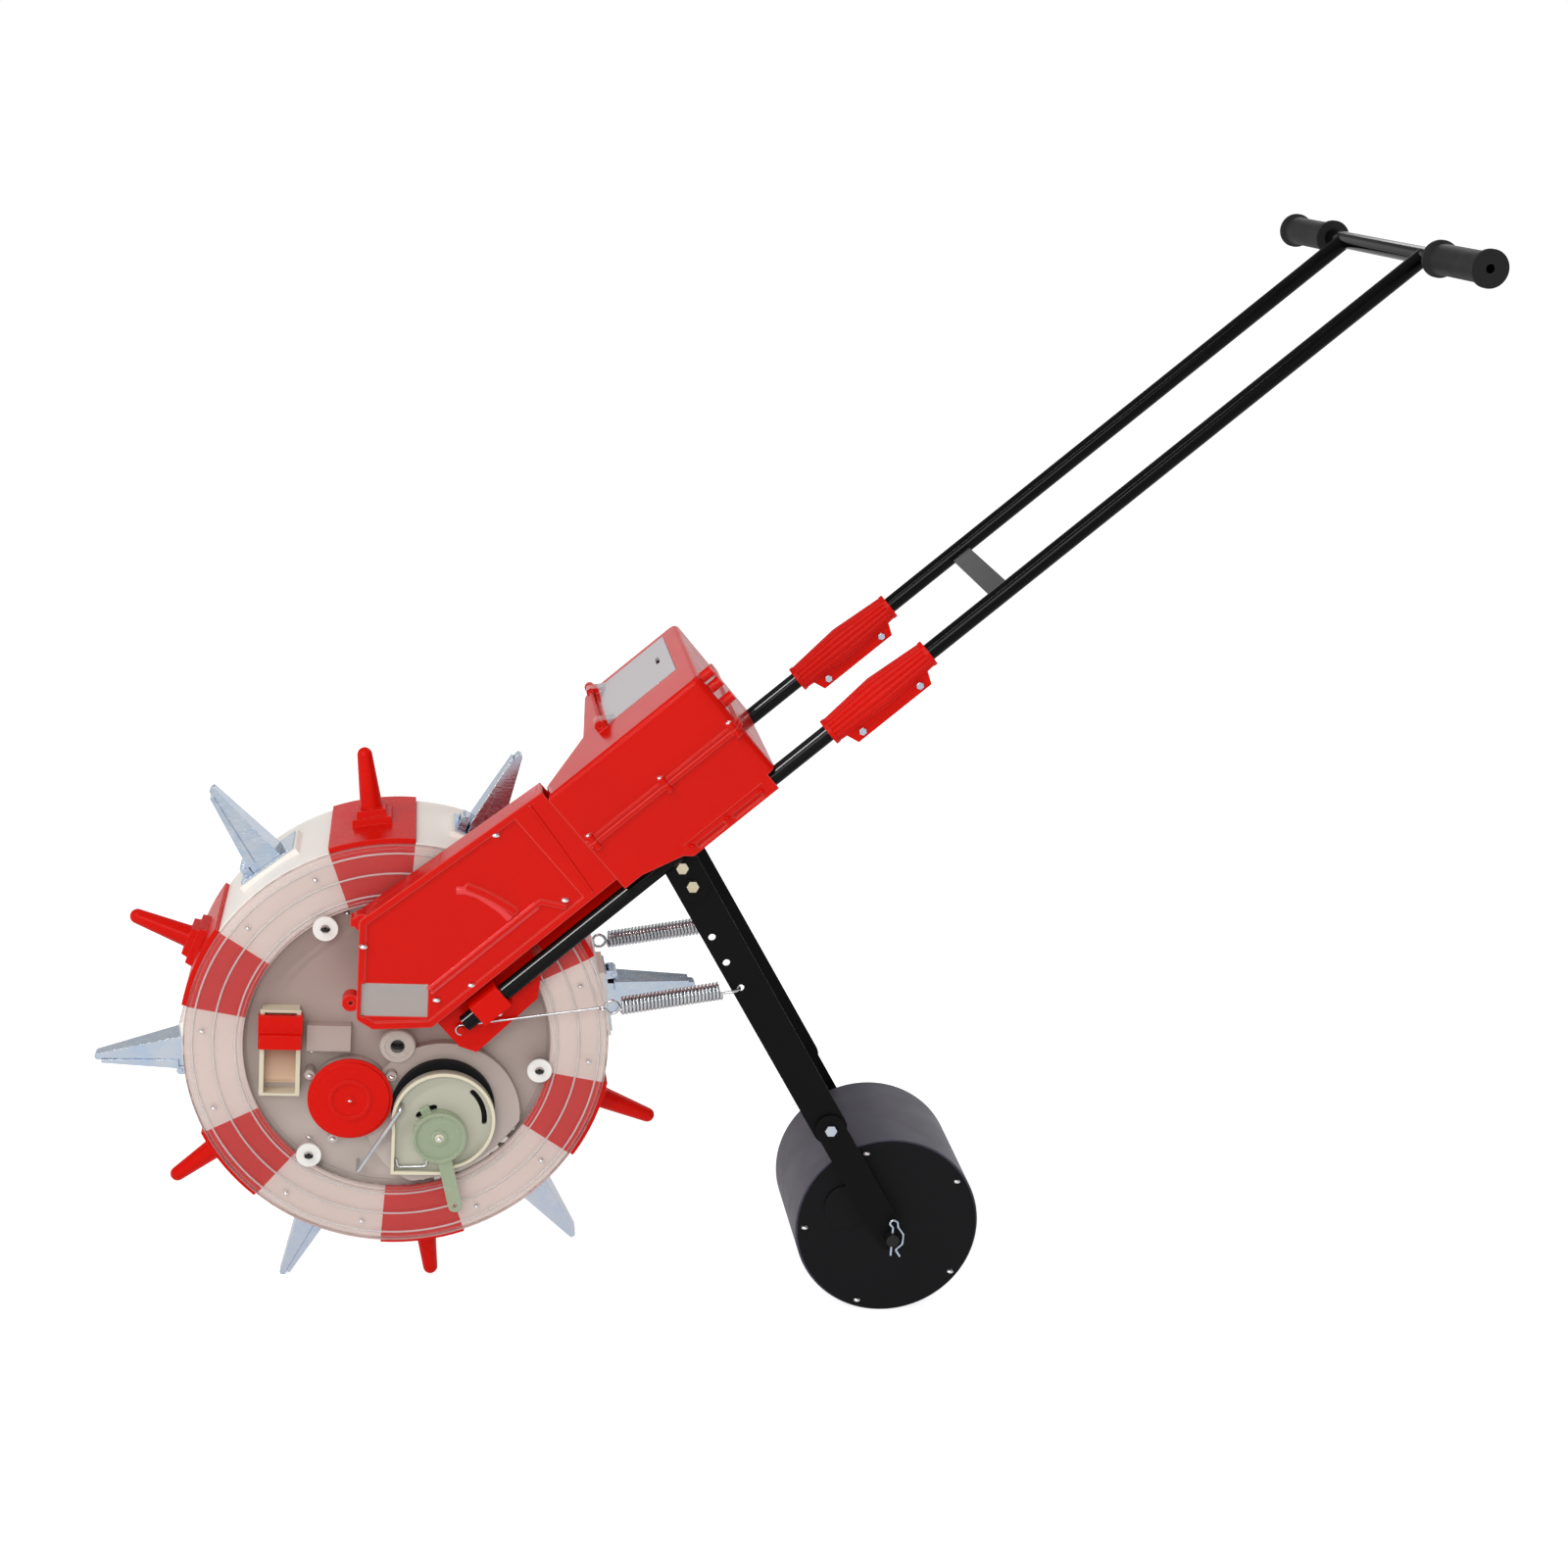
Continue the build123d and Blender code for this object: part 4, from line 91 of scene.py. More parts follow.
# %% [markdown]
# ## Camera
# The photograph was taken from the operator's left, a little above the handle and turned slightly to
# the back. A camera is only a point and three directions, so its matrix is built from the yaw, pitch
# and roll that line up the drum, the handle and the roller, instead of turning it by hand.

# %% Camera
YAW, PITCH, ROLL = 0.1513, -0.2623, 0.0744
FOCAL_PIXELS, IMAGE_PIXELS, SENSOR_MM = 2650, 1600, 36
CAMERA_AT = (-4.7, 884.4, 2356.3)


def put_in(name, data):
    """New object in the scene, made of a camera, a lamp or a mesh."""
    made = bpy.data.objects.new(name, data)
    bpy.context.scene.collection.objects.link(made)
    return made


forward = Vector((math.sin(YAW) * math.cos(PITCH), math.cos(YAW) * math.cos(PITCH), math.sin(PITCH)))
level = Vector((math.cos(YAW), -math.sin(YAW), 0))
lift = level.cross(forward)
right = level * math.cos(ROLL) + lift * math.sin(ROLL)
upward = lift * math.cos(ROLL) - level * math.sin(ROLL)

camera_data = bpy.data.cameras.new("photo_camera")
camera_data.sensor_width = SENSOR_MM
camera_data.lens = FOCAL_PIXELS / IMAGE_PIXELS * SENSOR_MM
camera = put_in("photo_camera", camera_data)
turned = Matrix((right, upward, -forward)).transposed().to_4x4()
camera.matrix_world = Matrix.Translation(place(*CAMERA_AT)) @ turned
bpy.context.scene.camera = camera
print("lens:", round(camera_data.lens, 2), "mm at", tuple(round(v, 3) for v in camera.location))

# %% [markdown]
# ## Small helpers for node trees
# Every finish and every repeated shape below is a tree of nodes. These helpers add a node and feed its
# inputs, each with a value or with what another node gives, so that the trees read like a recipe. The
# nodes that come most, for arithmetic, for ranges and for mixing colours, have a helper each.


# %% Node helpers
def feed(tree, node, values):
    """Set a node's inputs: a node gives its first output, and a (node, output) pair the one it names."""
    for socket, value in values.items():
        if isinstance(value, bpy.types.Node):
            value = value, 0
        if isinstance(value, tuple) and isinstance(value[0], bpy.types.Node):
            tree.links.new(value[0].outputs[value[1]], node.inputs[socket])
        else:
            node.inputs[socket].default_value = value


def add(tree, kind, values=None, **settings):
    """Add a node, set its properties, then feed its inputs."""
    made = tree.nodes.new(kind)
    for name, value in settings.items():
        setattr(made, name, value)
    feed(tree, made, values or {})
    return made


def new_group(name, kind, inputs, outputs):
    """Node group with sockets given by name and type, and the two nodes that stand for them."""
    group = bpy.data.node_groups.new(name, kind)
    for in_out, sockets in (("INPUT", inputs), ("OUTPUT", outputs)):
        for socket, socket_type in sockets.items():
            group.interface.new_socket(socket, in_out=in_out, socket_type=socket_type)
    print(name, "group:", len(inputs), "inputs,", len(outputs), "outputs")
    return group, add(group, "NodeGroupInput"), add(group, "NodeGroupOutput")


print("node helpers ready")


# %% Nodes that come again and again
def calc(tree, operation, *terms, clamped=False):
    """One step of arithmetic."""
    return add(tree, "ShaderNodeMath", dict(enumerate(terms)), operation=operation, use_clamp=clamped)


def remap(tree, value, source=(0, 1), target=(0, 1)):
    """Carry a value from one range over to another and hold it within."""
    names = ("Value", "From Min", "From Max", "To Min", "To Max")
    return add(tree, "ShaderNodeMapRange", dict(zip(names, (value, *source, *target))))


def mix(tree, factor, first, second):
    """Mix two colours, as a (node, output) pair: a Mix node's colour sockets only go by their numbers."""
    colour_a, colour_b, colour_out = 6, 7, 2
    values = {"Factor": factor, colour_a: first, colour_b: second}
    return add(tree, "ShaderNodeMix", values, data_type="RGBA"), colour_out


print("arithmetic, ranges and mixes ready")

# %% [markdown]
# ## Rounded edges, shared by every finish
# Moulds and presses never leave a knife edge. The Bevel node looks at the faces close by and rounds
# the shading over a small radius, and where it differs from the true normal there is an edge, which
# gives a mask for a thin bright line painted along the edge, a painted highlight.

# %% Shared effect: rounded edges
FLOAT, COLOUR, VECTOR = "NodeSocketFloat", "NodeSocketColor", "NodeSocketVector"

edge_group, edge_in, edge_out = new_group(
    "rounded_edges", "ShaderNodeTree", {"Radius": FLOAT}, {"Normal": VECTOR, "Edge": FLOAT}
)
bevel = add(edge_group, "ShaderNodeBevel", {"Radius": (edge_in, "Radius")}, samples=6)
true_normal = add(edge_group, "ShaderNodeNewGeometry"), "Normal"
likeness = add(edge_group, "ShaderNodeVectorMath", {0: bevel, 1: true_normal}, operation="DOT_PRODUCT")
mask = remap(edge_group, (likeness, "Value"), (0.995, 0.75))
feed(edge_group, edge_out, {"Normal": bevel, "Edge": mask})

# %% [markdown]
# ## Moulded skin
# Injection-moulded plastic is never one colour: the melt flows unevenly, and the mould leaves a very
# fine orange-peel. Three noises do it, a broad one for the tone, a smeared one for the gloss, and a
# fine one for the height of the skin. Along the edges the colour is mixed towards a paler one: a
# painted highlight where a rounded edge would catch the light.

# %% Shared effect: moulded skin
skin_group, skin_in, skin_out = new_group(
    "moulded_skin", "ShaderNodeTree",
    {"Colour": COLOUR, "Edge Colour": COLOUR, "Flow": FLOAT, "Gloss": FLOAT, "Peel": FLOAT, "Edge": FLOAT},
    {"Colour": COLOUR, "Roughness": FLOAT, "Height": FLOAT},
)
where = add(skin_group, "ShaderNodeTexCoord"), "Object"
flow = add(skin_group, "ShaderNodeTexNoise", {"Vector": where, "Scale": 9, "Detail": 3, "Roughness": 0.5})
darkest = calc(skin_group, "SUBTRACT", 1, (skin_in, "Flow"))
lightest = calc(skin_group, "ADD", 1, (skin_in, "Flow"))
tone = remap(skin_group, flow, (0.3, 0.7), (darkest, lightest))
toned = {0: (skin_in, "Colour"), "Scale": tone}
coloured = add(skin_group, "ShaderNodeVectorMath", toned, operation="SCALE")
# Paler colour mixed in along the edges: a painted highlight.
edge_highlit = mix(skin_group, (skin_in, "Edge"), coloured, (skin_in, "Edge Colour"))
smear = add(skin_group, "ShaderNodeTexNoise", {"Vector": where, "Scale": 40, "Detail": 6, "Distortion": 0.6})
smeared = remap(skin_group, smear, (0.25, 0.75), (-0.04, 0.06))
rough = calc(skin_group, "ADD", (skin_in, "Gloss"), smeared, clamped=True)
fine = {"Vector": where, "Scale": (skin_in, "Peel"), "Detail": 2, "Roughness": 0.4}
peel = add(skin_group, "ShaderNodeTexNoise", fine)
feed(skin_group, skin_out, {"Colour": edge_highlit, "Roughness": rough, "Height": peel})

# %% [markdown]
# ## Plated steel
# Zinc plate is bright, a little blue in places and a little yellow in others, and clouded where the
# bath was uneven. A slow noise mixes the two tints, and a stretched one gives the drawn streaks that
# dull the gloss along the sheet.

# %% Shared effect: plated steel
# Near-white tint for the edges: a painted highlight.
EDGE_HIGHLIGHT = (0.92, 0.93, 0.95, 1)

plate_group, plate_in, plate_out = new_group(
    "plated_steel", "ShaderNodeTree",
    {"Cool": COLOUR, "Warm": COLOUR, "Gloss": FLOAT, "Edge": FLOAT},
    {"Colour": COLOUR, "Roughness": FLOAT, "Height": FLOAT},
)
where = add(plate_group, "ShaderNodeTexCoord"), "Object"
cloudy = {"Vector": where, "Scale": 45, "Detail": 5, "Distortion": 0.8}
clouds = add(plate_group, "ShaderNodeTexNoise", cloudy)
cloud_mask = remap(plate_group, clouds, (0.35, 0.65))
tints = mix(plate_group, cloud_mask, (plate_in, "Cool"), (plate_in, "Warm"))
# Along the edges the tints turn near white: a painted highlight.
edge_lit = mix(plate_group, (plate_in, "Edge"), tints, EDGE_HIGHLIGHT)
streak_space = add(plate_group, "ShaderNodeMapping", {"Vector": where, "Scale": (1, 1, 9)})
streaks = add(plate_group, "ShaderNodeTexNoise", {"Vector": streak_space, "Scale": 160, "Detail": 3})
dulled = remap(plate_group, streaks, (0.2, 0.8), (-0.1, 0.14))
rough = calc(plate_group, "ADD", (plate_in, "Gloss"), dulled, clamped=True)
feed(plate_group, plate_out, {"Colour": edge_lit, "Roughness": rough, "Height": streaks})

# %% [markdown]
# ## The finishes
# Each finish is one Principled shader that takes its colour, roughness and skin from the shared
# groups. Values that are the same all over stay on the shader's own sockets. The clear plastic lets
# light straight past with Alpha instead of bending it, because the walls are thin and flat, and a
# Fresnel node makes it turn milky where it is seen at a low angle.

# %% Finish recipes
SKIN_DEPTH, PLATE_DEPTH, PLATE_EDGE, COAT_ROUGHNESS = 0.0004, 0.0002, 0.0006, 0.06


def start_finish(name, edge_radius, shared, values, bump, depth):
    """Material with rounded edges and one shared effect, wired to a Principled shader."""
    finish = bpy.data.materials.new(name)
    finish.use_nodes = True
    tree = finish.node_tree
    shader = tree.nodes["Principled BSDF"]
    edges = add(tree, "ShaderNodeGroup", {"Radius": edge_radius}, node_tree=edge_group)
    effect = add(tree, "ShaderNodeGroup", {**values, "Edge": (edges, "Edge")}, node_tree=shared)
    skin = add(tree, "ShaderNodeBump", {"Strength": bump, "Distance": depth})
    feed(tree, skin, {"Height": (effect, "Height"), "Normal": (edges, "Normal")})
    feed(tree, shader, {"Base Color": (effect, "Colour"), "Roughness": (effect, "Roughness"), "Normal": skin})
    return finish, tree, shader, edges, effect


def moulded(name, colour, edge, gloss, shine=0.3, flow=0.03, peel=700, bump=0.06, coat=0.0, radius=0.0008):
    """Moulded plastic, rubber or paint with a fine skin, and the parts of its tree."""
    values = {"Colour": (*colour, 1), "Edge Colour": (*edge, 1), "Flow": flow, "Gloss": gloss, "Peel": peel}
    finish, tree, shader, edges, effect = start_finish(name, radius, skin_group, values, bump, SKIN_DEPTH)
    feed(tree, shader, {"Specular IOR Level": shine, "Coat Weight": coat, "Coat Roughness": COAT_ROUGHNESS})
    return finish, tree, shader, edges, effect


print("moulded recipe ready")


# %% Recipes for clear plastic and plated steel
def see_through(name, colour, edge, gloss, face_alpha, edge_alpha):
    """Clear plastic: faces let light past, while the edges are more opaque and paler, a painted highlight."""
    finish, tree, shader, edges, _ = moulded(name, colour, edge, gloss, shine=0.5, flow=0.02, bump=0.02)
    # More opaque along the edges, so that their pale colour shows: a painted highlight.
    veil = remap(tree, (edges, "Edge"), (0, 1), (face_alpha, edge_alpha))
    grazing = add(tree, "ShaderNodeFresnel", {"IOR": 1.35})
    feed(tree, shader, {"Alpha": calc(tree, "ADD", veil, grazing, clamped=True)})
    return finish


def plated(name, cool, warm, gloss, bump):
    """Bright plated steel."""
    values = {"Cool": (*cool, 1), "Warm": (*warm, 1), "Gloss": gloss}
    finish, tree, shader, _, _ = start_finish(name, PLATE_EDGE, plate_group, values, bump, PLATE_DEPTH)
    feed(tree, shader, {"Metallic": 1.0})
    return finish


print("clear and plated recipes ready")

# %% Moulded and painted finishes: colour, colour of the edges, gloss and what else differs
# The colour of the edges is paler, painted along them as a highlight.
MOULDED = {
    "cream_plastic": ((0.42, 0.335, 0.30), (0.52, 0.44, 0.40), 0.36, {}),
    "red_plastic": ((0.64, 0.005, 0.001), (0.80, 0.05, 0.04), 0.27, {"shine": 0.1}),
    "black_plastic": ((0.005, 0.005, 0.006), (0.02, 0.02, 0.02), 0.45, {"shine": 0.12}),
    "white_nylon": ((0.82, 0.80, 0.76), (0.86, 0.85, 0.82), 0.4, {}),
    "black_paint": ((0.002, 0.002, 0.002), (0.01, 0.01, 0.01), 0.12,
                    {"shine": 0.1, "bump": 0.01, "radius": 0.0002}),
    "grip_rubber": ((0.012, 0.012, 0.013), (0.03, 0.03, 0.03), 0.6,
                    {"shine": 0.2, "peel": 1500, "bump": 0.2}),
    "roller_plastic": ((0.066, 0.063, 0.086), (0.10, 0.10, 0.12), 0.42, {"shine": 0.25}),
    "red_gloss": ((0.62, 0.005, 0.001), (0.86, 0.10, 0.08), 0.2,
                  {"shine": 0.1, "bump": 0.02, "coat": 0.08, "radius": 0.0022}),
    # red_rib is a paler red than the chute: a painted highlight on the ribs' tops, with real extra gloss besides.
    "red_rib": ((0.76, 0.035, 0.035), (0.90, 0.20, 0.20), 0.2, {"shine": 0.3, "coat": 0.3}),
    "red_ribbed": ((0.62, 0.005, 0.001), (0.80, 0.05, 0.04), 0.3, {"shine": 0.1, "radius": 0.0003}),
    "natural_nylon": ((0.92, 0.86, 0.80), (0.94, 0.90, 0.86), 0.38, {}),
    "frame_cream": ((0.66, 0.60, 0.45), (0.80, 0.75, 0.60), 0.36, {}),
    "arm_paint": ((0.003, 0.003, 0.003), (0.012, 0.012, 0.012), 0.5, {"shine": 0.1, "peel": 900}),
    "black_oxide": ((0.008, 0.008, 0.008), (0.05, 0.05, 0.05), 0.4, {"shine": 0.3}),
}
finishes = {}
for name, (colour, edge, gloss, more) in MOULDED.items():
    finishes[name] = moulded(name, colour, edge, gloss, **more)[0]
print("moulded and painted:", len(MOULDED))

# %% Clear finishes: colour, colour of the edges, gloss, and how much the faces and the edges hide
# The colour of the edges is paler, painted along them as a highlight.
CLEAR = {
    # The clear plastic's pink tint is a painted reflection of the red parts round it.
    "clear_plastic": ((0.86, 0.70, 0.68), (0.9, 0.88, 0.87), 0.12, 0.035, 0.4),
    "smoked_plastic": ((0.40, 0.42, 0.42), (0.6, 0.6, 0.6), 0.1, 0.75, 0.9),
    "pale_green_plastic": ((0.40, 0.48, 0.32), (0.60, 0.68, 0.50), 0.25, 0.7, 0.9),
    "window_clear": ((0.66, 0.60, 0.57), (0.8, 0.78, 0.76), 0.1, 0.45, 0.8),
    "ridge_clear": ((0.88, 0.86, 0.85), (0.92, 0.91, 0.90), 0.12, 0.35, 0.45),
}
for name, row in CLEAR.items():
    finishes[name] = see_through(name, *row)
print("clear:", len(CLEAR))

# %% Plated finishes: cool tint, warm tint, gloss and depth of the streaks
PLATED = {
    "zinc_steel": ((0.50, 0.60, 0.74), (0.60, 0.65, 0.72), 0.2, 0.06),
    "bright_wire": ((0.52, 0.54, 0.57), (0.64, 0.65, 0.66), 0.16, 0.02),
    "bright_zinc": ((0.82, 0.84, 0.87), (0.90, 0.90, 0.90), 0.24, 0.02),
    "yellow_zinc": ((0.62, 0.55, 0.36), (0.70, 0.62, 0.45), 0.3, 0.06),
}
for name, row in PLATED.items():
    finishes[name] = plated(name, *row)
print("plated:", len(PLATED))

# %% [markdown]
# ## Rim colours
# The rim is made of cream segments, one under each bill, with red ones between them. The gear ring
# and the linings take the colour of the segment behind. Instead of a separate object for each colour,
# the material asks at what angle round the axle a point lies, and picks cream or red.

# %% Shared effect: how far from an axle
axle_group, axle_in, axle_out = new_group(
    "far_from_axle", "ShaderNodeTree",
    {"Axle": VECTOR, "Inner": FLOAT, "Outer": FLOAT}, {"Far": FLOAT, "Bearing": FLOAT},
)
where = add(axle_group, "ShaderNodeTexCoord"), "Object"
offset = add(axle_group, "ShaderNodeVectorMath", {0: where, 1: (axle_in, "Axle")}, operation="SUBTRACT")
flat = add(axle_group, "ShaderNodeVectorMath", {0: offset, 1: (1, 0, 1)}, operation="MULTIPLY")
reach = add(axle_group, "ShaderNodeVectorMath", {0: flat}, operation="LENGTH")
far = remap(axle_group, (reach, "Value"), ((axle_in, "Inner"), (axle_in, "Outer")))
parts = add(axle_group, "ShaderNodeSeparateXYZ", {"Vector": offset})
bearing = calc(axle_group, "ARCTAN2", (parts, "Z"), (parts, "X"))
feed(axle_group, axle_out, {"Far": far, "Bearing": bearing})

# %% Finish that follows the rim segments
FIRST_BILL, BILLS, SEAT_ANGLE = -111.3, 6, 37
# RIM_EDGE is the paler colour painted along the edges as a highlight.
RIM_CREAM, RIM_RED, RIM_EDGE = (0.82, 0.72, 0.67), (0.66, 0.012, 0.008), (0.92, 0.88, 0.84)
HALF_RED = math.radians(360 / BILLS - SEAT_ANGLE) / 2

rim_tint, tint_tree, _, _, tint_skin = moulded("rim_tint", RIM_CREAM, RIM_EDGE, 0.36, radius=0.0002)
round_axle = add(tint_tree, "ShaderNodeGroup", {"Axle": drum_centre}, node_tree=axle_group)
shifted = calc(tint_tree, "ADD", (round_axle, "Bearing"), math.radians(360 - FIRST_BILL))
in_step = calc(tint_tree, "FLOORED_MODULO", shifted, 2 * math.pi / BILLS)
from_middle = calc(tint_tree, "SUBTRACT", in_step, math.pi / BILLS)
distance = calc(tint_tree, "ABSOLUTE", from_middle)
is_red = calc(tint_tree, "LESS_THAN", distance, HALF_RED)
feed(tint_tree, tint_skin, {"Colour": mix(tint_tree, is_red, (*RIM_CREAM, 1), (*RIM_RED, 1))})
finishes["rim_tint"] = rim_tint
print("rim tint:", BILLS, "red and", BILLS, "cream parts")

# %% [markdown]
# ## Finishes in two tones
# Some pieces change colour from one part to another: the tie bolt is dark at its core and cream round
# it, the metering housing's floor is greyer than its rim, and the lid is red at its hinge. The plates
# and the scoop are darker towards the top, which is painted shade. A mask does it without cutting the
# mesh: it grows with the distance from an axle, or along one of Blender's axes, and mixes two colours.


# %% Two tones by a mask
def two_tone(name, near, far, mask_of, edge, gloss, shine=0.3):
    """Moulded finish with one colour where a mask is 0 and another where it is 1."""
    finish, tree, _, _, skin = moulded(name, near, edge, gloss, shine)
    feed(tree, skin, {"Colour": mix(tree, mask_of(tree), (*near, 1), (*far, 1))})
    return finish


def off_axle(centre, inner, outer):
    """Recipe for a mask that grows from 0 to 1 between two radii, in millimetres."""
    def mask_of(tree):
        values = {"Axle": centre, "Inner": inner * MM, "Outer": outer * MM}
        return add(tree, "ShaderNodeGroup", values, node_tree=axle_group), "Far"
    return mask_of


def between(axis, start, end):
    """Recipe for a mask that grows from 0 to 1 between two places on one of Blender's axes."""
    def mask_of(tree):
        where = add(tree, "ShaderNodeTexCoord"), "Object"
        parts = add(tree, "ShaderNodeSeparateXYZ", {"Vector": where})
        return remap(tree, (parts, axis), (start, end))
    return mask_of


print("two-tone recipe ready")

# %% Two-tone finishes: colour at mask 0, colour at mask 1, mask, colour of the edges, gloss and shine
hub_mask = off_axle(drum_centre, 5.2, 5.6)
housing_mask = between("Y", place(0, 0, 86).y, place(0, 0, 89).y)
# The plates are darker and pinker towards the top: painted shade from the chute above.
plate_shade_mask = between("Z", place(0, 60, 0).z, place(0, -110, 0).z)
lid_mask = off_axle(joint_at["lid_hinge"], 7.6, 8.2)
# The scoop is dark brown at its top and beige at its foot: painted shade inside it.
scoop_shade_mask = between("Z", place(0, -4, 0).z, place(0, -40, 0).z)
# The colour of the edges is paler, painted along them as a highlight.
TWO_TONES = {
    "hub_cap": ((0.10, 0.095, 0.09), (0.50, 0.44, 0.39), hub_mask, (0.8, 0.76, 0.72), 0.34),
    "housing_cream": ((0.48, 0.47, 0.38), (0.72, 0.66, 0.50), housing_mask, (0.80, 0.75, 0.60), 0.36),
    "plate_cream_shaded": ((0.36, 0.27, 0.24), (0.54, 0.47, 0.43), plate_shade_mask, (0.54, 0.46, 0.42), 0.36),
    "lid_grey": ((0.62, 0.005, 0.001), (0.44, 0.40, 0.42), lid_mask, (0.7, 0.68, 0.68), 0.12, 0.5),
    "scoop_beige_shaded": ((0.36, 0.13, 0.07), (0.80, 0.58, 0.42), scoop_shade_mask, (0.8, 0.7, 0.6), 0.4),
}
for name, row in TWO_TONES.items():
    finishes[name] = two_tone(name, *row)
print("two-tone finishes:", len(TWO_TONES))

# %% [markdown]
# ## Painting the planter
# Every CAD node has a material slot that says what it is made of, and most nodes take the finish of
# that name. The ones whose finish differs from others of the same stuff are listed here.

# %% Paint the CAD nodes
own_finish = {
    "bill_seats": "natural_nylon", "metering_gear": "natural_nylon", "ring_gear": "rim_tint",
    "meter_housing": "housing_cream", "gate_frame": "frame_cream", "left_plate": "plate_cream_shaded",
    "right_plate": "plate_cream_shaded", "gear_cover": "plate_cream_shaded", "tie_bolt": "hub_cap",
    "chute_window": "window_clear", "chute_cover": "red_gloss", "chute_back": "red_gloss",
    "hopper_base": "red_gloss", "hopper_top": "red_gloss", "hopper_lid": "lid_grey",
    "lid_pin": "red_plastic", "outer_clamps": "red_ribbed", "inner_clamps": "red_ribbed",
    "left_arm": "arm_paint", "right_arm": "arm_paint", "arm_strips": "arm_paint",
    "arm_lugs": "arm_paint", "pivot_bolts": "yellow_zinc", "roller_axle": "black_oxide",
}
for subpart in frame["record"]["subparts"]:
    name = subpart["node"]
    slots = frame["nodes"][name].data.materials
    slots.clear()
    slots.append(finishes[own_finish.get(name, subpart["material_slot"])])
print("painted", len(frame["nodes"]), "nodes,", len(own_finish), "of them with a finish of their own")

# %% [markdown]
# ## Floor and light
# The photograph is a plain studio shot on white. The floor is pale paper lit from below, as on a light
# table, so that shadows stay faint. The surroundings are bright overhead and at floor level and darker
# between, which gives the steel something to reflect. A long narrow panel draws a thin bright line on
# the tubes, and a stronger strip is linked to the two lower tubes alone. The Light Path node tells what
# the lens sees straight on, which is plain white, from what lights the planter. The floor is clear from
# below, where Backfacing is 1, so that the underside can be looked at.

# %% Floor
FLOOR_GLOW, FLOOR_SEEN, FLOOR_HALF = 0.36, 0.8, 40


def grey(brightness):
    """Colour with the same red, green and blue."""
    return brightness, brightness, brightness, 1


corners = [(FLOOR_HALF * x, FLOOR_HALF * y, 0) for x, y in ((-1, -1), (1, -1), (1, 1), (-1, 1))]
floor_mesh = bpy.data.meshes.new("studio_floor")
floor_mesh.from_pydata(corners, [], [(0, 1, 2, 3)])
floor = put_in("studio_floor", floor_mesh)
paper, paper_tree, paper_shader, _, _ = moulded(
    "studio_paper", (0.6, 0.6, 0.6), (0.6, 0.6, 0.6), 0.8, shine=0.1, flow=0.01, peel=300
)
seen = add(paper_tree, "ShaderNodeLightPath"), "Is Camera Ray"
underside = add(paper_tree, "ShaderNodeNewGeometry"), "Backfacing"
feed(paper_tree, paper_shader, {
    "Emission Color": grey(1),
    "Emission Strength": remap(paper_tree, seen, (0, 1), (FLOOR_GLOW, FLOOR_SEEN)),
    "Alpha": calc(paper_tree, "SUBTRACT", 1, underside),
})
floor_mesh.materials.append(paper)
print("floor:", 2 * FLOOR_HALF, "m square")

# %% Surroundings: brightness by how steeply a direction rises
SKY_GLOW = 0.56
SKY_LOWEST, SKY_HIGHEST = 1.5, 1
SKY_BANDS = ((0.2, 1.7), (0.32, 0.4), (0.5, 0.5), (0.8, 0.95))

world = bpy.data.worlds.new("studio")
world.use_nodes = True
sky = world.node_tree
direction = add(sky, "ShaderNodeTexCoord"), "Generated"
rise = add(sky, "ShaderNodeSeparateXYZ", {"Vector": direction}), "Z"
bands = add(sky, "ShaderNodeValToRGB", {"Fac": rise})
stops = bands.color_ramp.elements
for spot, brightness in SKY_BANDS:
    stops.new(spot).color = grey(brightness)
stops[0].color = grey(SKY_LOWEST)
stops[-1].color = grey(SKY_HIGHEST)
seen = add(sky, "ShaderNodeLightPath"), "Is Camera Ray"
backdrop = mix(sky, seen, bands, grey(1 / SKY_GLOW))
feed(sky, sky.nodes["Background"], {"Color": backdrop, "Strength": SKY_GLOW})
bpy.context.scene.world = world
bpy.context.scene.view_settings.view_transform = "Standard"
print("surroundings:", len(stops), "bands")


# %% Soft panels
def soft_panel(name, at, aim, along, width, height, watts):
    """A rectangular soft light at one point, facing another, its width lying along a direction."""
    data = bpy.data.lights.new(name, "AREA")
    data.shape = "RECTANGLE"
    data.size, data.size_y, data.energy = width, height, watts
    lamp = put_in(name, data)
    back = (Vector(at) - Vector(aim)).normalized()
    side = Vector(along) - back * back.dot(Vector(along))
    side.normalize()
    lamp.matrix_world = Matrix.Translation(at) @ Matrix((side, back.cross(side), back)).transposed().to_4x4()
    return lamp


ALONG_TUBES = (math.cos(RAIL_SLOPE), 0, math.sin(RAIL_SLOPE))
LENGTHWISE = (1, 0, 0)
AIM_LOW, AIM_HIGH = (0, 0, 0.5), (0, 0, 0.6)

PANELS = {
    "tube_panel": ((-1.75, -1.35, 2.35), AIM_HIGH, ALONG_TUBES, 2.4, 0.12, 26),
    "front_panel": ((-0.9, -3.2, 1.9), AIM_LOW, LENGTHWISE, 1.5, 1.2, 36),
    "back_panel": ((1.4, 2.2, 2.2), AIM_LOW, LENGTHWISE, 1.5, 1.0, 14),
}
for name, row in PANELS.items():
    soft_panel(name, *row)
print("panels:", len(PANELS))

# %% A bright strip that only the lower tubes see
tubes = bpy.data.collections.new("lit_tubes")
for name in ("left_tube", "right_tube"):
    tubes.objects.link(frame["nodes"][name])
STRIP_AT, STRIP_AIM = (-1.45, -1.35, 2.6), (0.1, 0, 0.7)
strip = soft_panel("tube_strip", STRIP_AT, STRIP_AIM, ALONG_TUBES, width=3.0, height=0.6, watts=420)
strip.light_linking.receiver_collection = tubes

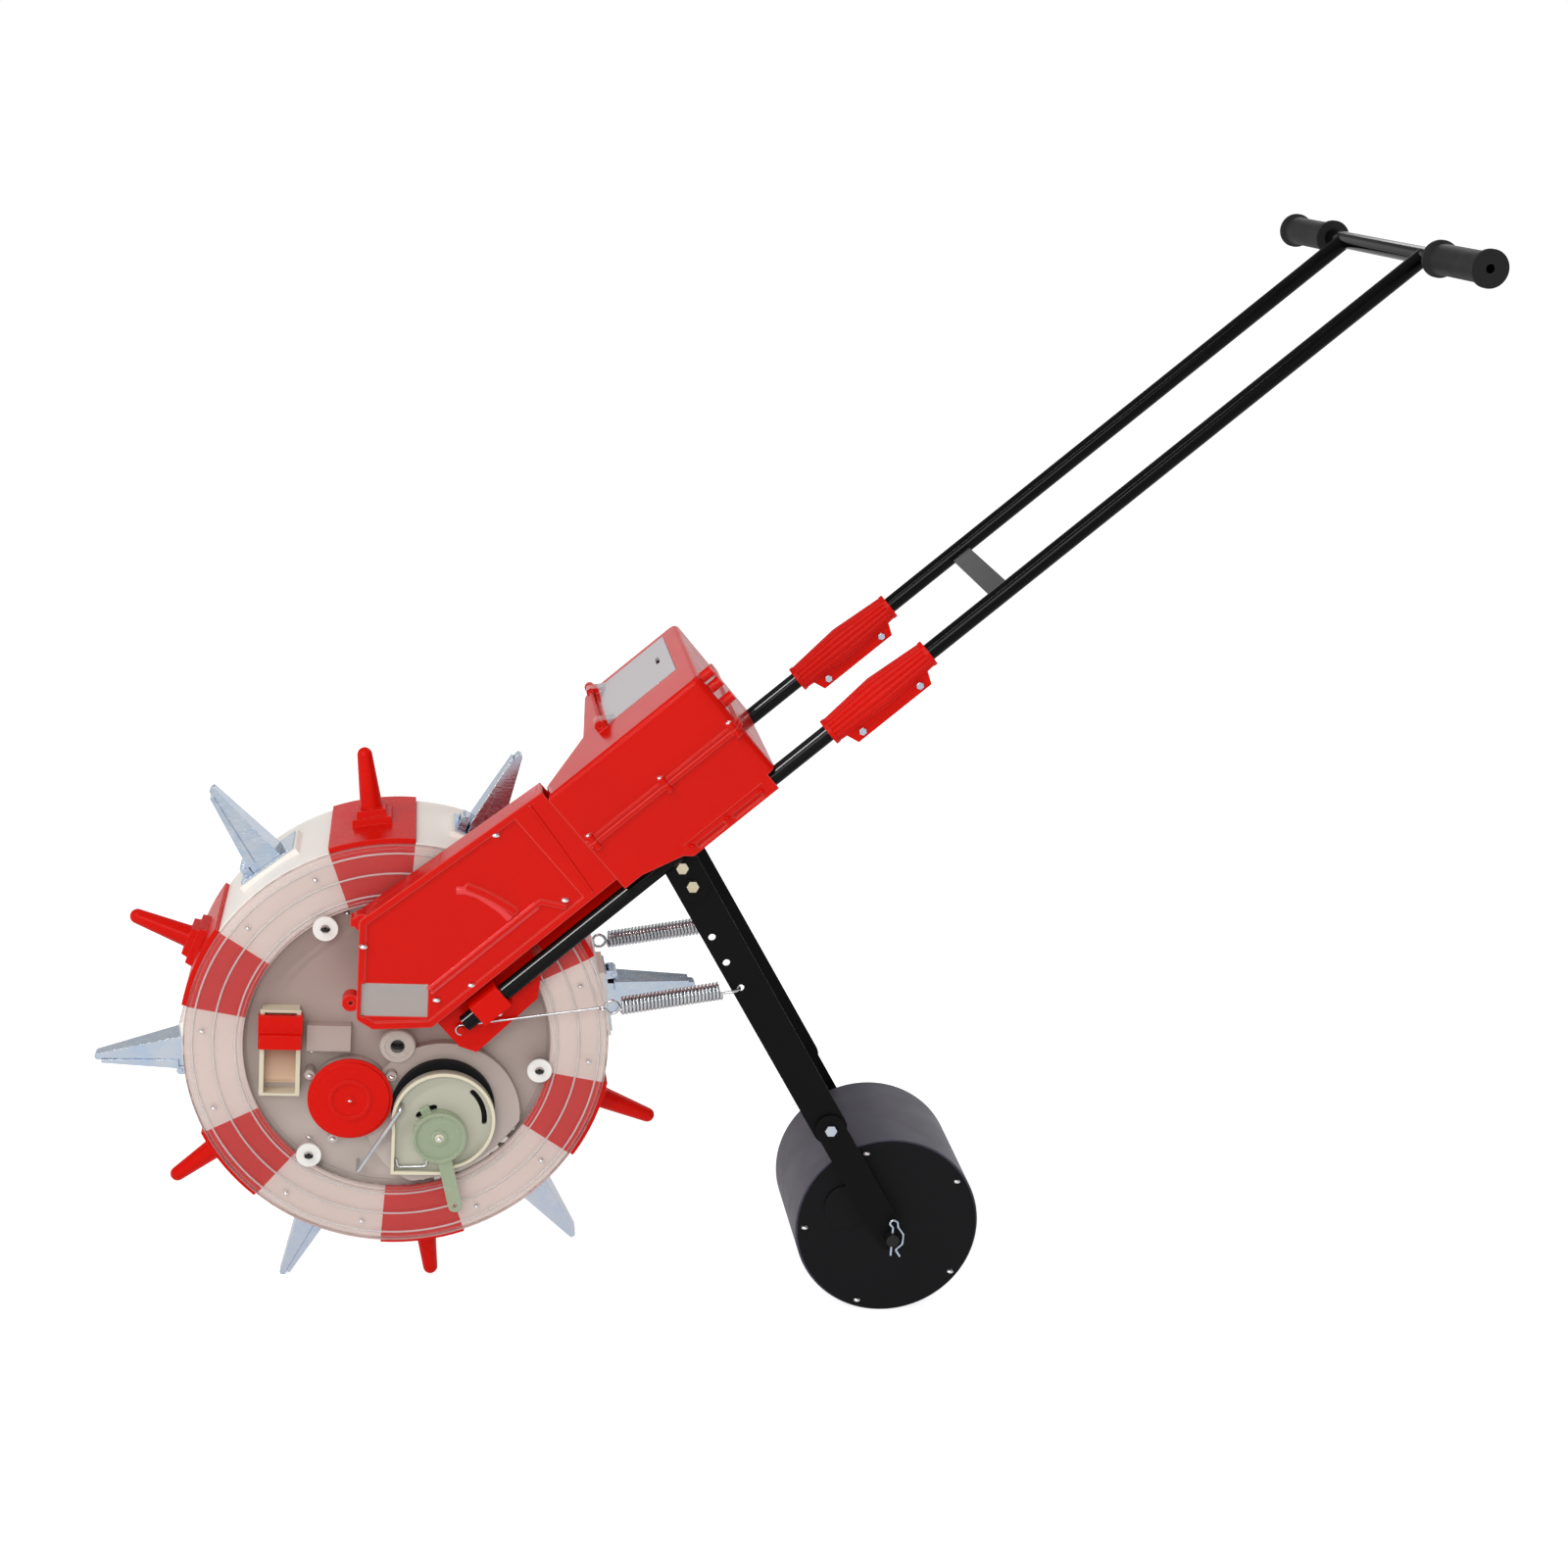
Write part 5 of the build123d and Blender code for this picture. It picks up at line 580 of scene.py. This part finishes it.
# %% [markdown]
# ## Wire: two springs and their links
# Two tension springs pull the press arms down. Each is a close coil of bright wire with an eye at one
# end and a hook through the arm at the other, and a thinner wire link ties the eye to the bracket. A
# Geometry Nodes tree draws a round wire along any path and rounds its corners, so only the path has to
# be worked out. Bending a curve object by hand would do it once, but the tree serves every wire here.

# %% Geometry Nodes: a wire along a path
GEOMETRY, WHOLE, FINISH = "NodeSocketGeometry", "NodeSocketInt", "NodeSocketMaterial"

wire_group, wire_in, wire_out = new_group(
    "wire_along_path", "GeometryNodeTree",
    {"Path": GEOMETRY, "Wire Radius": FLOAT, "Bend Radius": FLOAT, "Sides": WHOLE, "Finish": FINISH},
    {"Wire": GEOMETRY},
)
to_curve = add(wire_group, "GeometryNodeMeshToCurve", {"Mesh": (wire_in, "Path")})
bends = {"Curve": to_curve, "Radius": (wire_in, "Bend Radius"), "Count": 6, "Limit Radius": True}
bent = add(wire_group, "GeometryNodeFilletCurve", bends, mode="POLY")
circle = {"Radius": (wire_in, "Wire Radius"), "Resolution": (wire_in, "Sides")}
section = add(wire_group, "GeometryNodeCurvePrimitiveCircle", circle)
along_curve = {"Curve": bent, "Profile Curve": section, "Fill Caps": True}
sweep = add(wire_group, "GeometryNodeCurveToMesh", along_curve)
smooth = add(wire_group, "GeometryNodeSetShadeSmooth", {"Geometry": sweep})
realize = add(wire_group, "GeometryNodeRealizeInstances", {"Geometry": smooth})
paint = add(wire_group, "GeometryNodeSetMaterial", {"Geometry": realize, "Material": (wire_in, "Finish")})
feed(wire_group, wire_out, {"Wire": paint})


# %% Growing a plain mesh from a tree
def grown(name, start_mesh, group, values):
    """Run a Geometry Nodes tree on a mesh and keep the result as a plain object."""
    seed = put_in(name + "_seed", start_mesh)
    modifier = seed.modifiers.new("grow", "NODES")
    modifier.node_group = group
    sockets = {s.name: s.identifier for s in group.interface.items_tree if s.in_out == "INPUT"}
    for socket, value in values.items():
        modifier[sockets[socket]] = value
    evaluated = seed.evaluated_get(bpy.context.evaluated_depsgraph_get())
    mesh = bpy.data.meshes.new_from_object(evaluated)
    bpy.data.objects.remove(seed)
    print(name, "faces:", len(mesh.polygons))
    return put_in(name, mesh)


def path_mesh(name, lines, closed):
    """Mesh of edges that joins the points of each line in order."""
    points, edges = [], []
    for line in lines:
        first = len(points)
        points += line
        edges += [(i, i + 1) for i in range(first, len(points) - 1)]
        if closed:
            edges.append((len(points) - 1, first))
    mesh = bpy.data.meshes.new(name)
    mesh.from_pydata(points, edges, [])
    return mesh


def wire_piece(name, lines, finish, radius, sides, bend=0.0, closed=False):
    """Round wires along lines as one plain object, their radius and bends in millimetres."""
    values = {"Wire Radius": radius * MM, "Bend Radius": bend * MM, "Sides": sides}
    values["Finish"] = finishes[finish]
    return grown(name, path_mesh(name, lines, closed), wire_group, values)


print("tree runner ready")

# %% Spring coil, eye and hook
COIL_R, WIRE_R, TURNS, TURN_PITCH = 7.3, 1.55, 27, 3.4
EYE_R, COIL_START, HOOK_END = 6.2, 149.5, 260.0
PIN_LOOP_R, EYE_LOOP_R, EYE_LOOP_IN = 4.4, 3.0, 2
STEPS = 24
PIN = Vector((57, 25, 0))
ARM_HOLE = Vector((313.6, 72.5, 0))
OUTWARD = Vector((0, 0, 1))
pull = (ARM_HOLE - PIN).normalized()
side = pull.cross(OUTWARD)


def on_spring(run, across, out):
    """Point so far along the spring's line from the pin, across it and out."""
    return PIN + pull * run + side * across + OUTWARD * out


def arc(run, radius, first, last, flat):
    """Points on part of a circle round the spring's line, flat in the side view or standing square to it."""
    points = []
    for step in range(STEPS + 1):
        turn = math.radians(first + (last - first) * step / STEPS)
        reach, swing = radius * math.cos(turn), radius * math.sin(turn)
        points.append(on_spring(run + reach, swing if flat else 0, 0 if flat else swing))
    return points


def coil_path():
    """Points along the eye, the close coil and the hook of one spring."""
    eye_at = COIL_START - EYE_R - 2 * WIRE_R
    points = arc(eye_at, EYE_R, 20, 345, flat=True)
    for step in range(STEPS * TURNS + STEPS // 4 + 1):
        turn = 2 * math.pi * step / STEPS
        run = COIL_START + TURN_PITCH * step / STEPS
        points.append(on_spring(run, COIL_R * math.cos(turn), COIL_R * math.sin(turn)))
    return points + arc(HOOK_END - COIL_R, COIL_R, 90, -90, flat=False)


def link_path():
    """Points along the thin link from the bracket's pin to the spring's eye."""
    eye_left = COIL_START - 2 * EYE_R - 2 * WIRE_R
    pin_loop = arc(0, PIN_LOOP_R, 90, 270, flat=True)
    return pin_loop + arc(eye_left - EYE_LOOP_IN, EYE_LOOP_R, -90, 200, flat=False)


print("coil:", round(TURNS * TURN_PITCH, 1), "mm long,", 2 * (COIL_R + WIRE_R), "mm across")

# %% Springs on both sides
SPRING_OUT, LINK_R = 94.8, 1.1


def to_side(points, out):
    """Move points of the spring's drawing to one side of the planter."""
    return [place(p.x, p.y, out + math.copysign(p.z, out * p.z)) for p in points]


for node, out in (("left_spring", SPRING_OUT), ("right_spring", -SPRING_OUT)):
    for part, points, radius in (("coil", coil_path(), WIRE_R), ("link", link_path(), LINK_R)):
        piece = wire_piece(f"{node}_{part}", [to_side(points, out)], "bright_wire", radius, sides=10)
        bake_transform(piece)
        if part == "coil":
            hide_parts(node)

# %% [markdown]
# ## A link rod and a wire clip at the metering housing
# A bright rod stands on the still plate and hooks over the housing's rim, and a wire clip lies along
# the housing's floor. Both are the same wire tree again, with a bend radius that the path lacks.

# %% Rod and clip
rod_line = [place(-33, -120, 62.2), place(-33, -120, 91), place(6, -54, 92.6), place(6, -54, 84.4)]
clip_line = [place(2, -108, 85.8), place(4, -116, 85.8), place(30, -115, 85.8), place(31, -108, 85.8)]
for name, line, radius, turn in (("link_rod", rod_line, 1.9, 5), ("wire_clip", clip_line, 1.5, 3)):
    piece = wire_piece(name, [line], "bright_wire", radius, sides=14, bend=turn)
    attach(piece, "frame")

# %% [markdown]
# ## Ridges on the clear rings
# The clear side rings have shallow moulded ridges that run right round and catch the light as thin
# pale lines. They are closed circles, so the wire tree draws them too, half sunk in the ring's face.

# %% Ring ridges
RIDGE_CIRCLES, RIDGE_R, RIDGE_STEPS = (148, 168, 187), 0.9, 144
RING_FACE = 75.5

turns = [2 * math.pi * k / RIDGE_STEPS for k in range(RIDGE_STEPS)]
for name, out in (("left_ridges", RING_FACE), ("right_ridges", -RING_FACE)):
    circles = [[place(r * math.cos(t), r * math.sin(t), out) for t in turns] for r in RIDGE_CIRCLES]
    ridges = wire_piece(name, circles, "ridge_clear", RIDGE_R, sides=8, closed=True)
    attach(ridges, "drum")

# %% [markdown]
# ## Turned rings: linings, lips and hub boss
# Each clear ring has a flat lining set into its back, in the colours of the rim, which also hides the
# gear ring's teeth, and a thin lip on each still plate closes the gap behind it. The nut on the drum's
# axle sits in a round boss. All are turned like a pot: a short profile of points is spun round the
# axle, the last step joins the first, and the faces are then turned outwards, because spinning doesn't
# promise that.

# %% Turning a profile round the drum's axle
SHARP_ANGLE = math.radians(25)


def solid_piece(name, points, faces, finish):
    """Object made of points and faces, with its faces turned outwards and its sharp edges kept."""
    mesh = bpy.data.meshes.new(name)
    mesh.from_pydata(points, [], faces)
    shell = bmesh.new()
    shell.from_mesh(mesh)
    bmesh.ops.recalc_face_normals(shell, faces=shell.faces)
    shell.to_mesh(mesh)
    shell.free()
    mesh.shade_smooth()
    mesh.set_sharp_from_angle(angle=SHARP_ANGLE)
    mesh.materials.append(finishes[finish])
    print(name, "faces:", len(mesh.polygons))
    return put_in(name, mesh)


def turned_ring(name, profile, steps, finish):
    """Closed ring round the drum's axle, from corners of (radius, out)."""
    points, faces, count = [], [], len(profile)
    for k in range(steps):
        turn = 2 * math.pi * k / steps
        points += [place(r * math.cos(turn), r * math.sin(turn), out) for r, out in profile]
        here, there = count * k, count * ((k + 1) % steps)
        pairs = [(i, (i + 1) % count) for i in range(count)]
        faces += [(here + i, here + j, there + j, there + i) for i, j in pairs]
    return solid_piece(name, points, faces, finish)


def flat_profile(inner, outer, low, high):
    """Corners of a flat ring between two radii and two places out."""
    return (inner, low), (outer, low), (outer, high), (inner, high)


print("turning ready")

# %% Linings, lips and hub boss
RING_STEPS, BOSS_STEPS = 180, 72
LINING_IN, LINING_OUT = 141.4, 194.0
LEFT_LINING, RIGHT_LINING = (70.6, 72.0), (-72.0, -70.6)
LIP_IN, LIP_OUT, LIP_BACK, LIP_FACE = 138.6, 149.0, 60.4, 61.9
BOSS_PROFILE = ((6.4, 71.1), (9.2, 71.1), (9.2, 73.3), (16.2, 73.3), (16.8, 74.2),
                (15.4, 76.4), (12.0, 76.9), (11.2, 75.9), (7.2, 75.9), (6.4, 75.4))

for name, (low, high) in (("left_lining", LEFT_LINING), ("right_lining", RIGHT_LINING)):
    lining = turned_ring(name, flat_profile(LINING_IN, LINING_OUT, low, high), RING_STEPS, "rim_tint")
    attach(lining, "drum")
for name, hand in (("left_lip", 1), ("right_lip", -1)):
    lip_profile = flat_profile(LIP_IN, LIP_OUT, LIP_BACK * hand, LIP_FACE * hand)
    # The lips take the plates' finish, with its painted shade.
    lip = turned_ring(name, lip_profile, RING_STEPS, "plate_cream_shaded")
    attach(lip, "frame")
boss = turned_ring("hub_boss", BOSS_PROFILE, BOSS_STEPS, "hub_cap")
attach(boss, "frame")

# %% [markdown]
# ## Scoop behind the seed gate
# Seed that is left over runs out through the gate's frame. A beige scoop closes the back of that
# opening and turns up at its lower end. Its side view is drawn once as a thin strip with a curved
# foot, and pushed across the opening's width.

# %% Gate scoop
SCOOP_BACK, SCOOP_WIDTH = -107, 28.8
SCOOP_TOP, SCOOP_FOOT, SCOOP_OUT, SCOOP_BEND, SCOOP_WALL = -1.2, -42.8, 58.3, 3.0, 1.0
BEND_STEPS = 6

face_out = SCOOP_OUT + SCOOP_WALL
outline = [(SCOOP_TOP, face_out)]
for k in range(BEND_STEPS + 1):
    turn = math.radians(90 * k / BEND_STEPS)
    up = SCOOP_FOOT + SCOOP_WALL + SCOOP_BEND * (1 - math.sin(turn))
    outline.append((up, face_out + SCOOP_BEND * (1 - math.cos(turn))))
outline += [(SCOOP_FOOT, face_out + SCOOP_BEND), (SCOOP_FOOT, SCOOP_OUT), (SCOOP_TOP, SCOOP_OUT)]
count = len(outline)
points = []
for back in (SCOOP_BACK - SCOOP_WIDTH / 2, SCOOP_BACK + SCOOP_WIDTH / 2):
    points += [place(back, up, out) for up, out in outline]
faces = [(i, (i + 1) % count, count + (i + 1) % count, count + i) for i in range(count)]
faces += [tuple(range(count)), tuple(range(2 * count - 1, count - 1, -1))]
# Its finish darkens towards the top: painted shade.
scoop = solid_piece("gate_scoop", points, faces, "scoop_beige_shaded")
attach(scoop, "frame")

# %% [markdown]
# ## Clips on the roller's axle
# A spring clip keeps each end of the axle in its arm: one leg goes through the axle, and the other is
# bowed so that it grips the outside. One path on the drawing serves both ends.

# %% Axle clips
CLIP_OUT = 104.6
CLIP_R, CLIP_BEND = 1.1, 2.5
CLIP_LEGS = ((0, -17), (0, 12), (-4, 16), (-1, 20), (4, 18),
             (5, 12), (10.5, 5), (10.5, -5), (4, -11), (9, -18))

axle = (joint_at["press_roller_spin"] - drum_centre) / MM
clip_lines = [[place(axle.x + a, axle.z + b, out) for a, b in CLIP_LEGS] for out in (CLIP_OUT, -CLIP_OUT)]
clips = wire_piece("axle_clips", clip_lines, "zinc_steel", CLIP_R, sides=12, bend=CLIP_BEND)
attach(clips, "press_arm")
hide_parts("split_pins")

# %% [markdown]
# ## Screws
# The covers, rings and plates are held by pan-head screws with a cross recess. One head is modelled in
# the tree, a flattened ball with two bars cut out of it, and set on every point, turned the way that
# the point faces. Where a screw sits comes from the CAD itself: a ray is sent from outside, and the
# first surface that it meets is the seat.

# %% Geometry Nodes: one shape on every spot
place_group, place_in, place_out = new_group(
    "set_on_spots", "GeometryNodeTree", {"Spots": GEOMETRY, "Shape": GEOMETRY}, {"Set": GEOMETRY}
)
facing, spin, size = [
    add(place_group, "GeometryNodeInputNamedAttribute", {"Name": name}, data_type=kind)
    for name, kind in (("facing", "FLOAT_VECTOR"), ("spin", "FLOAT"), ("size", "FLOAT"))
]
stand = add(place_group, "FunctionNodeAlignRotationToVector", {"Vector": facing}, axis="Z")
about = add(place_group, "FunctionNodeAxisAngleToRotation", {"Axis": (0, 0, 1), "Angle": spin})
turns = {"Rotation": stand, "Rotate By": about}
turned_head = add(place_group, "FunctionNodeRotateRotation", turns, rotation_space="LOCAL")
copies = add(place_group, "GeometryNodeInstanceOnPoints", {"Rotation": turned_head, "Scale": size})
feed(place_group, copies, {"Points": (place_in, "Spots"), "Instance": (place_in, "Shape")})
feed(place_group, place_out, {"Set": copies})

# %% Geometry Nodes: shared ending with crisp edges
CRISP_ANGLE = math.radians(35)


def finish_tree(group, group_in, shape, group_out, output):
    """Set a shape on its spots, keep its sharp edges crisp, make it real and paint it."""
    spots = {"Spots": (group_in, "Spots"), "Shape": shape}
    spread = add(group, "GeometryNodeGroup", spots, node_tree=place_group)
    round_faces = add(group, "GeometryNodeSetShadeSmooth", {"Geometry": spread}, domain="FACE")
    angle = add(group, "GeometryNodeInputMeshEdgeAngle"), "Unsigned Angle"
    steep = add(group, "FunctionNodeCompare", data_type="FLOAT", operation="GREATER_THAN")
    feed(group, steep, {"A": angle, "B": CRISP_ANGLE})
    creases = {"Geometry": round_faces, "Selection": steep, "Shade Smooth": False}
    crisp = add(group, "GeometryNodeSetShadeSmooth", creases, domain="EDGE")
    real = add(group, "GeometryNodeRealizeInstances", {"Geometry": crisp})
    coat = add(group, "GeometryNodeSetMaterial", {"Geometry": real, "Material": (group_in, "Finish")})
    feed(group, group_out, {output: coat})


print("edges stay crisp from", round(math.degrees(CRISP_ANGLE)), "degrees")

# %% Geometry Nodes: screw heads
screw_group, screw_in, screw_out = new_group(
    "screw_heads", "GeometryNodeTree",
    {"Spots": GEOMETRY, "Height": FLOAT, "Slot Width": FLOAT, "Slot Length": FLOAT, "Finish": FINISH},
    {"Heads": GEOMETRY},
)
ball = add(screw_group, "GeometryNodeMeshUVSphere", {"Segments": 20, "Rings": 10, "Radius": 1.0})
flat_size = add(screw_group, "ShaderNodeCombineXYZ", {"X": 1.0, "Y": 1.0, "Z": (screw_in, "Height")})
flattening = {"Geometry": ball, "Translation": (0, 0, -0.05), "Scale": flat_size}
flattened = add(screw_group, "GeometryNodeTransform", flattening)
bar_sides = {"X": (screw_in, "Slot Length"), "Y": (screw_in, "Slot Width"), "Z": 0.6}
bar = add(screw_group, "GeometryNodeMeshCube", {"Size": add(screw_group, "ShaderNodeCombineXYZ", bar_sides)})
long_bar = add(screw_group, "GeometryNodeTransform", {"Geometry": bar, "Translation": (0, 0, 0.6)})
quarter_turn = {"Geometry": long_bar, "Rotation": (0, 0, math.pi / 2)}
cross_bar = add(screw_group, "GeometryNodeTransform", quarter_turn)
first_cut = {"Mesh 1": flattened, "Mesh 2": cross_bar}
cut = add(screw_group, "GeometryNodeMeshBoolean", first_cut, operation="DIFFERENCE")
feed(screw_group, cut, {"Mesh 2": long_bar})
finish_tree(screw_group, screw_in, cut, screw_out, "Heads")

# %% Geometry Nodes: hex nuts
nut_group, nut_in, nut_out = new_group(
    "hex_nuts", "GeometryNodeTree",
    {"Spots": GEOMETRY, "Thickness": FLOAT, "Bore": FLOAT, "Finish": FINISH}, {"Nuts": GEOMETRY},
)
six_sides = {"Vertices": 6, "Radius": 1.0, "Depth": (nut_in, "Thickness")}
prism = add(nut_group, "GeometryNodeMeshCylinder", six_sides)
dome = add(nut_group, "GeometryNodeMeshUVSphere", {"Segments": 24, "Rings": 16, "Radius": 1.02})
rounded = add(nut_group, "GeometryNodeMeshBoolean", {"Mesh 2": prism}, operation="INTERSECT")
feed(nut_group, rounded, {"Mesh 2": dome})
bore = {"Vertices": 18, "Radius": (nut_in, "Bore"), "Depth": 4.0}
drill = add(nut_group, "GeometryNodeMeshCylinder", bore)
drilled = {"Mesh 1": rounded, "Mesh 2": drill}
bored = add(nut_group, "GeometryNodeMeshBoolean", drilled, operation="DIFFERENCE")
finish_tree(nut_group, nut_in, bored, nut_out, "Nuts")

# %% Finding seats on the CAD
RAY_FROM, NEXT_TURN = 260, 2.4


def seat(nodes, start, way):
    """First point where a line from the start meets one of the nodes."""
    found = []
    for name in nodes:
        met, spot, _, _ = frame["nodes"][name].ray_cast(start, way)
        if met:
            found.append(((spot - start).length, spot))
    if not found:
        raise ValueError(f"no seat on {nodes} from {tuple(start)}")
    return min(found, key=lambda f: f[0])[1]


def side_spots(nodes, places, radius, hand=1):
    """Spots on the planter's left side, or its right side with a hand of -1, each (point, way out, size)."""
    inward = Vector((0, hand, 0))
    starts = [place(back, up, RAY_FROM * hand) for back, up in places]
    return [(seat(nodes, start, inward), -inward, radius * MM) for start in starts]


def spots_mesh(name, spots):
    """Loose points that carry the way a head faces, how far it is turned and its size."""
    mesh = bpy.data.meshes.new(name)
    mesh.from_pydata([spot for spot, _, _ in spots], [], [])
    ways = mesh.attributes.new("facing", "FLOAT_VECTOR", "POINT")
    turns = mesh.attributes.new("spin", "FLOAT", "POINT")
    sizes = mesh.attributes.new("size", "FLOAT", "POINT")
    for i, (_, way, radius) in enumerate(spots):
        ways.data[i].vector = way
        turns.data[i].value = NEXT_TURN * i % math.pi
        sizes.data[i].value = radius
    return mesh


def screws(name, body, spots):
    """Bright screw heads on the spots, as one piece that rides on a body."""
    heads = grown(name, spots_mesh(name, spots), screw_group,
                  {"Height": 0.62, "Slot Width": 0.26, "Slot Length": 1.2, "Finish": finishes["bright_zinc"]})
    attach(heads, body)


print("seat finder ready")

# %% Screws on the plates, the chute and the brackets
COVER_EAR_SPOTS = [(-79.6, -28.3), (-4.4, -28.3), (-56.8, -90.8)]
PLATE_SPOTS = [(-79, -11), (-79, -97), (102, -76), (-50, 125)]
CHUTE_SPOTS = [(80.3, 218.5), (-33.5, 110.7), (33.5, 60.5), (145.2, 159.3)]
STRAP_HIGH, STRAP_LOW = on_rail(98.4, 12.6), on_rail(94.6, -31.5)

held = side_spots(["left_plate"], COVER_EAR_SPOTS + PLATE_SPOTS, radius=3.3)
held += side_spots(["right_plate"], PLATE_SPOTS, radius=3.3, hand=-1)
held += side_spots(["chute_cover"], CHUTE_SPOTS, radius=4.2)
held += side_spots(["left_bracket", "chute_cover", "chute_back"], [STRAP_HIGH, STRAP_LOW], radius=4.0)
held += side_spots(["right_bracket"], [STRAP_LOW], radius=4.0, hand=-1)
held += side_spots(["seed_cover"], [(-42, -50)], radius=2.2)
held += side_spots(["meter_housing"], [(41.4, -82.6)], radius=3.2)
screws("cover_screws", "frame", held)

# %% Screws along the hopper's seam
HOPPER = ["hopper_base", "hopper_top"]
HOPPER_SPOTS = ((270, 1), (353, 1), (432, 1), (353, -1), (432, -1))
SEAM_OUT, ABOVE_SEAM, SEAM_SCREW_R = 118.6, 200, 2.9

up_rail = (place(*on_rail(0, 1), 0) - place(0, 0, 0)).normalized()
seam = []
for along, hand in HOPPER_SPOTS:
    above = place(*on_rail(along, ABOVE_SEAM), SEAM_OUT * hand)
    seam.append((seat(HOPPER, above, -up_rail), up_rail, SEAM_SCREW_R * MM))
screws("hopper_screws", "frame", seam)

# %% Screws in the clear rings
SEAT_THIRD, SCREW_CIRCLE = SEAT_ANGLE / 3, 178

ring_spots = []
for k in range(BILLS):
    for lean in (-SEAT_THIRD, SEAT_THIRD):
        turn = math.radians(FIRST_BILL + 360 / BILLS * k + lean)
        ring_spots.append((SCREW_CIRCLE * math.cos(turn), SCREW_CIRCLE * math.sin(turn)))
both = side_spots(["left_ring"], ring_spots, radius=2.8)
both += side_spots(["right_ring"], ring_spots, radius=2.8, hand=-1)
screws("ring_screws", "drum", both)

# %% Screws in the roller's end discs
DISC_SCREWS, DISC_CIRCLE, FIRST_DISC_SCREW = 5, 81, 109

disc_spots = []
for k in range(DISC_SCREWS):
    turn = math.radians(FIRST_DISC_SCREW + 360 / DISC_SCREWS * k)
    disc_spots.append((axle.x + DISC_CIRCLE * math.cos(turn), axle.z + DISC_CIRCLE * math.sin(turn)))
both = side_spots(["end_discs"], disc_spots, radius=3.6)
both += side_spots(["end_discs"], disc_spots, radius=3.6, hand=-1)
screws("disc_screws", "press_roller", both)

# %% Nuts on the guide rollers and the hub
NUT_R, NUT_THICK, NUT_BORE, NUT_GAP = 4.4, 0.45, 0.42, 0.15
HUB_NUT_R, HUB_NUT_OUT = 6.2, 75.0

nut_spots = []
for number in (1, 2, 3):
    low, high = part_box(f"guide_roller_{number}")
    centre = joint_at[f"guide_roller_{number}_spin"]
    for hand, face in ((1, low[1]), (-1, high[1])):
        stand_off = hand * (NUT_R * NUT_THICK / 2 + NUT_GAP) * MM
        nut_spots.append((Vector((centre.x, face - stand_off, centre.z)), Vector((0, -hand, 0)), NUT_R * MM))
nut_spots.append((place(0, 0, HUB_NUT_OUT), Vector((0, -1, 0)), HUB_NUT_R * MM))
nuts = grown("guide_nuts", spots_mesh("guide_nuts", nut_spots), nut_group,
             {"Thickness": NUT_THICK, "Bore": NUT_BORE, "Finish": finishes["black_oxide"]})
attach(nuts, "frame")

# %% [markdown]
# ## Ribs, beads and plugs
# Thin mouldings are stiffened by ribs. The chute's cover has two along its lower edge and a broad
# curved one across its face, another marks where the hopper takes over, a bead runs along the hopper's
# seam, and a short rib and three plugs sit on its skirt. Each line is drawn on the sloping rail's
# drawing, laid on the first surface that a ray from outside meets, and the wire tree sinks a round bar
# partly into it.


# %% Ribs on the chute and the hopper
def laid_line(nodes, points, sunk, hand=1):
    """Points of the rail's drawing, laid on a side face and sunk into it."""
    middle = points[len(points) // 2]
    face = seat(nodes, place(*on_rail(*middle), RAY_FROM * hand), Vector((0, hand, 0)))
    out = -(face - drum_centre).y / MM - hand * sunk
    return [place(*on_rail(*point), out) for point in points]


def ribs(name, lines, radius, finish="red_gloss"):
    """Red ribs along laid lines, as one piece on the frame."""
    piece = wire_piece(name, lines, finish, radius, sides=16)
    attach(piece, "frame")


CURVED_RIB = [(146, 90), (152.1, 84.8), (158.5, 74.6), (162, 62.3), (165, 49.5), (165.5, 38.3)]
NECK_RIB = [(247, 110), (243, 60), (238, 10)]
SEAM_LINE = [(267, 50.2), (340, 50.2), (436, 50.2)]
SKIRT_RIB = [(330, -9), (375, -9), (420, -9)]

low_ribs = [[(66, high), (130, high), (192, high)] for high in (35, 30)]
low_lines = [laid_line(["chute_cover"], rib, sunk=0.2) for rib in low_ribs]
# The low ribs and the curved rib take the paler red: a painted highlight on their tops.
ribs("chute_ribs", low_lines, radius=1.9, finish="red_rib")
ribs("curved_rib", [laid_line(["chute_cover"], CURVED_RIB, sunk=3.0)], radius=5.0, finish="red_rib")
ribs("neck_ribs", [laid_line(["chute_cover"], NECK_RIB, sunk=0.2)], radius=1.8)
ribs("seam_beads", [laid_line(HOPPER, SEAM_LINE, sunk=0.3, hand=hand) for hand in (1, -1)], radius=1.2)
ribs("skirt_rib", [laid_line(HOPPER, SKIRT_RIB, sunk=0.3)], radius=1.2)

# %% Plugs along the hopper's lower edge
plug_places = [on_rail(along, -14) for along in (335, 376, 415)]
plug_spots = side_spots(HOPPER, plug_places, radius=3.2)
plugs = grown("skirt_plugs", spots_mesh("skirt_plugs", plug_spots), screw_group,
              {"Height": 0.6, "Slot Width": 0.2, "Slot Length": 0.6, "Finish": finishes["red_plastic"]})
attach(plugs, "frame")
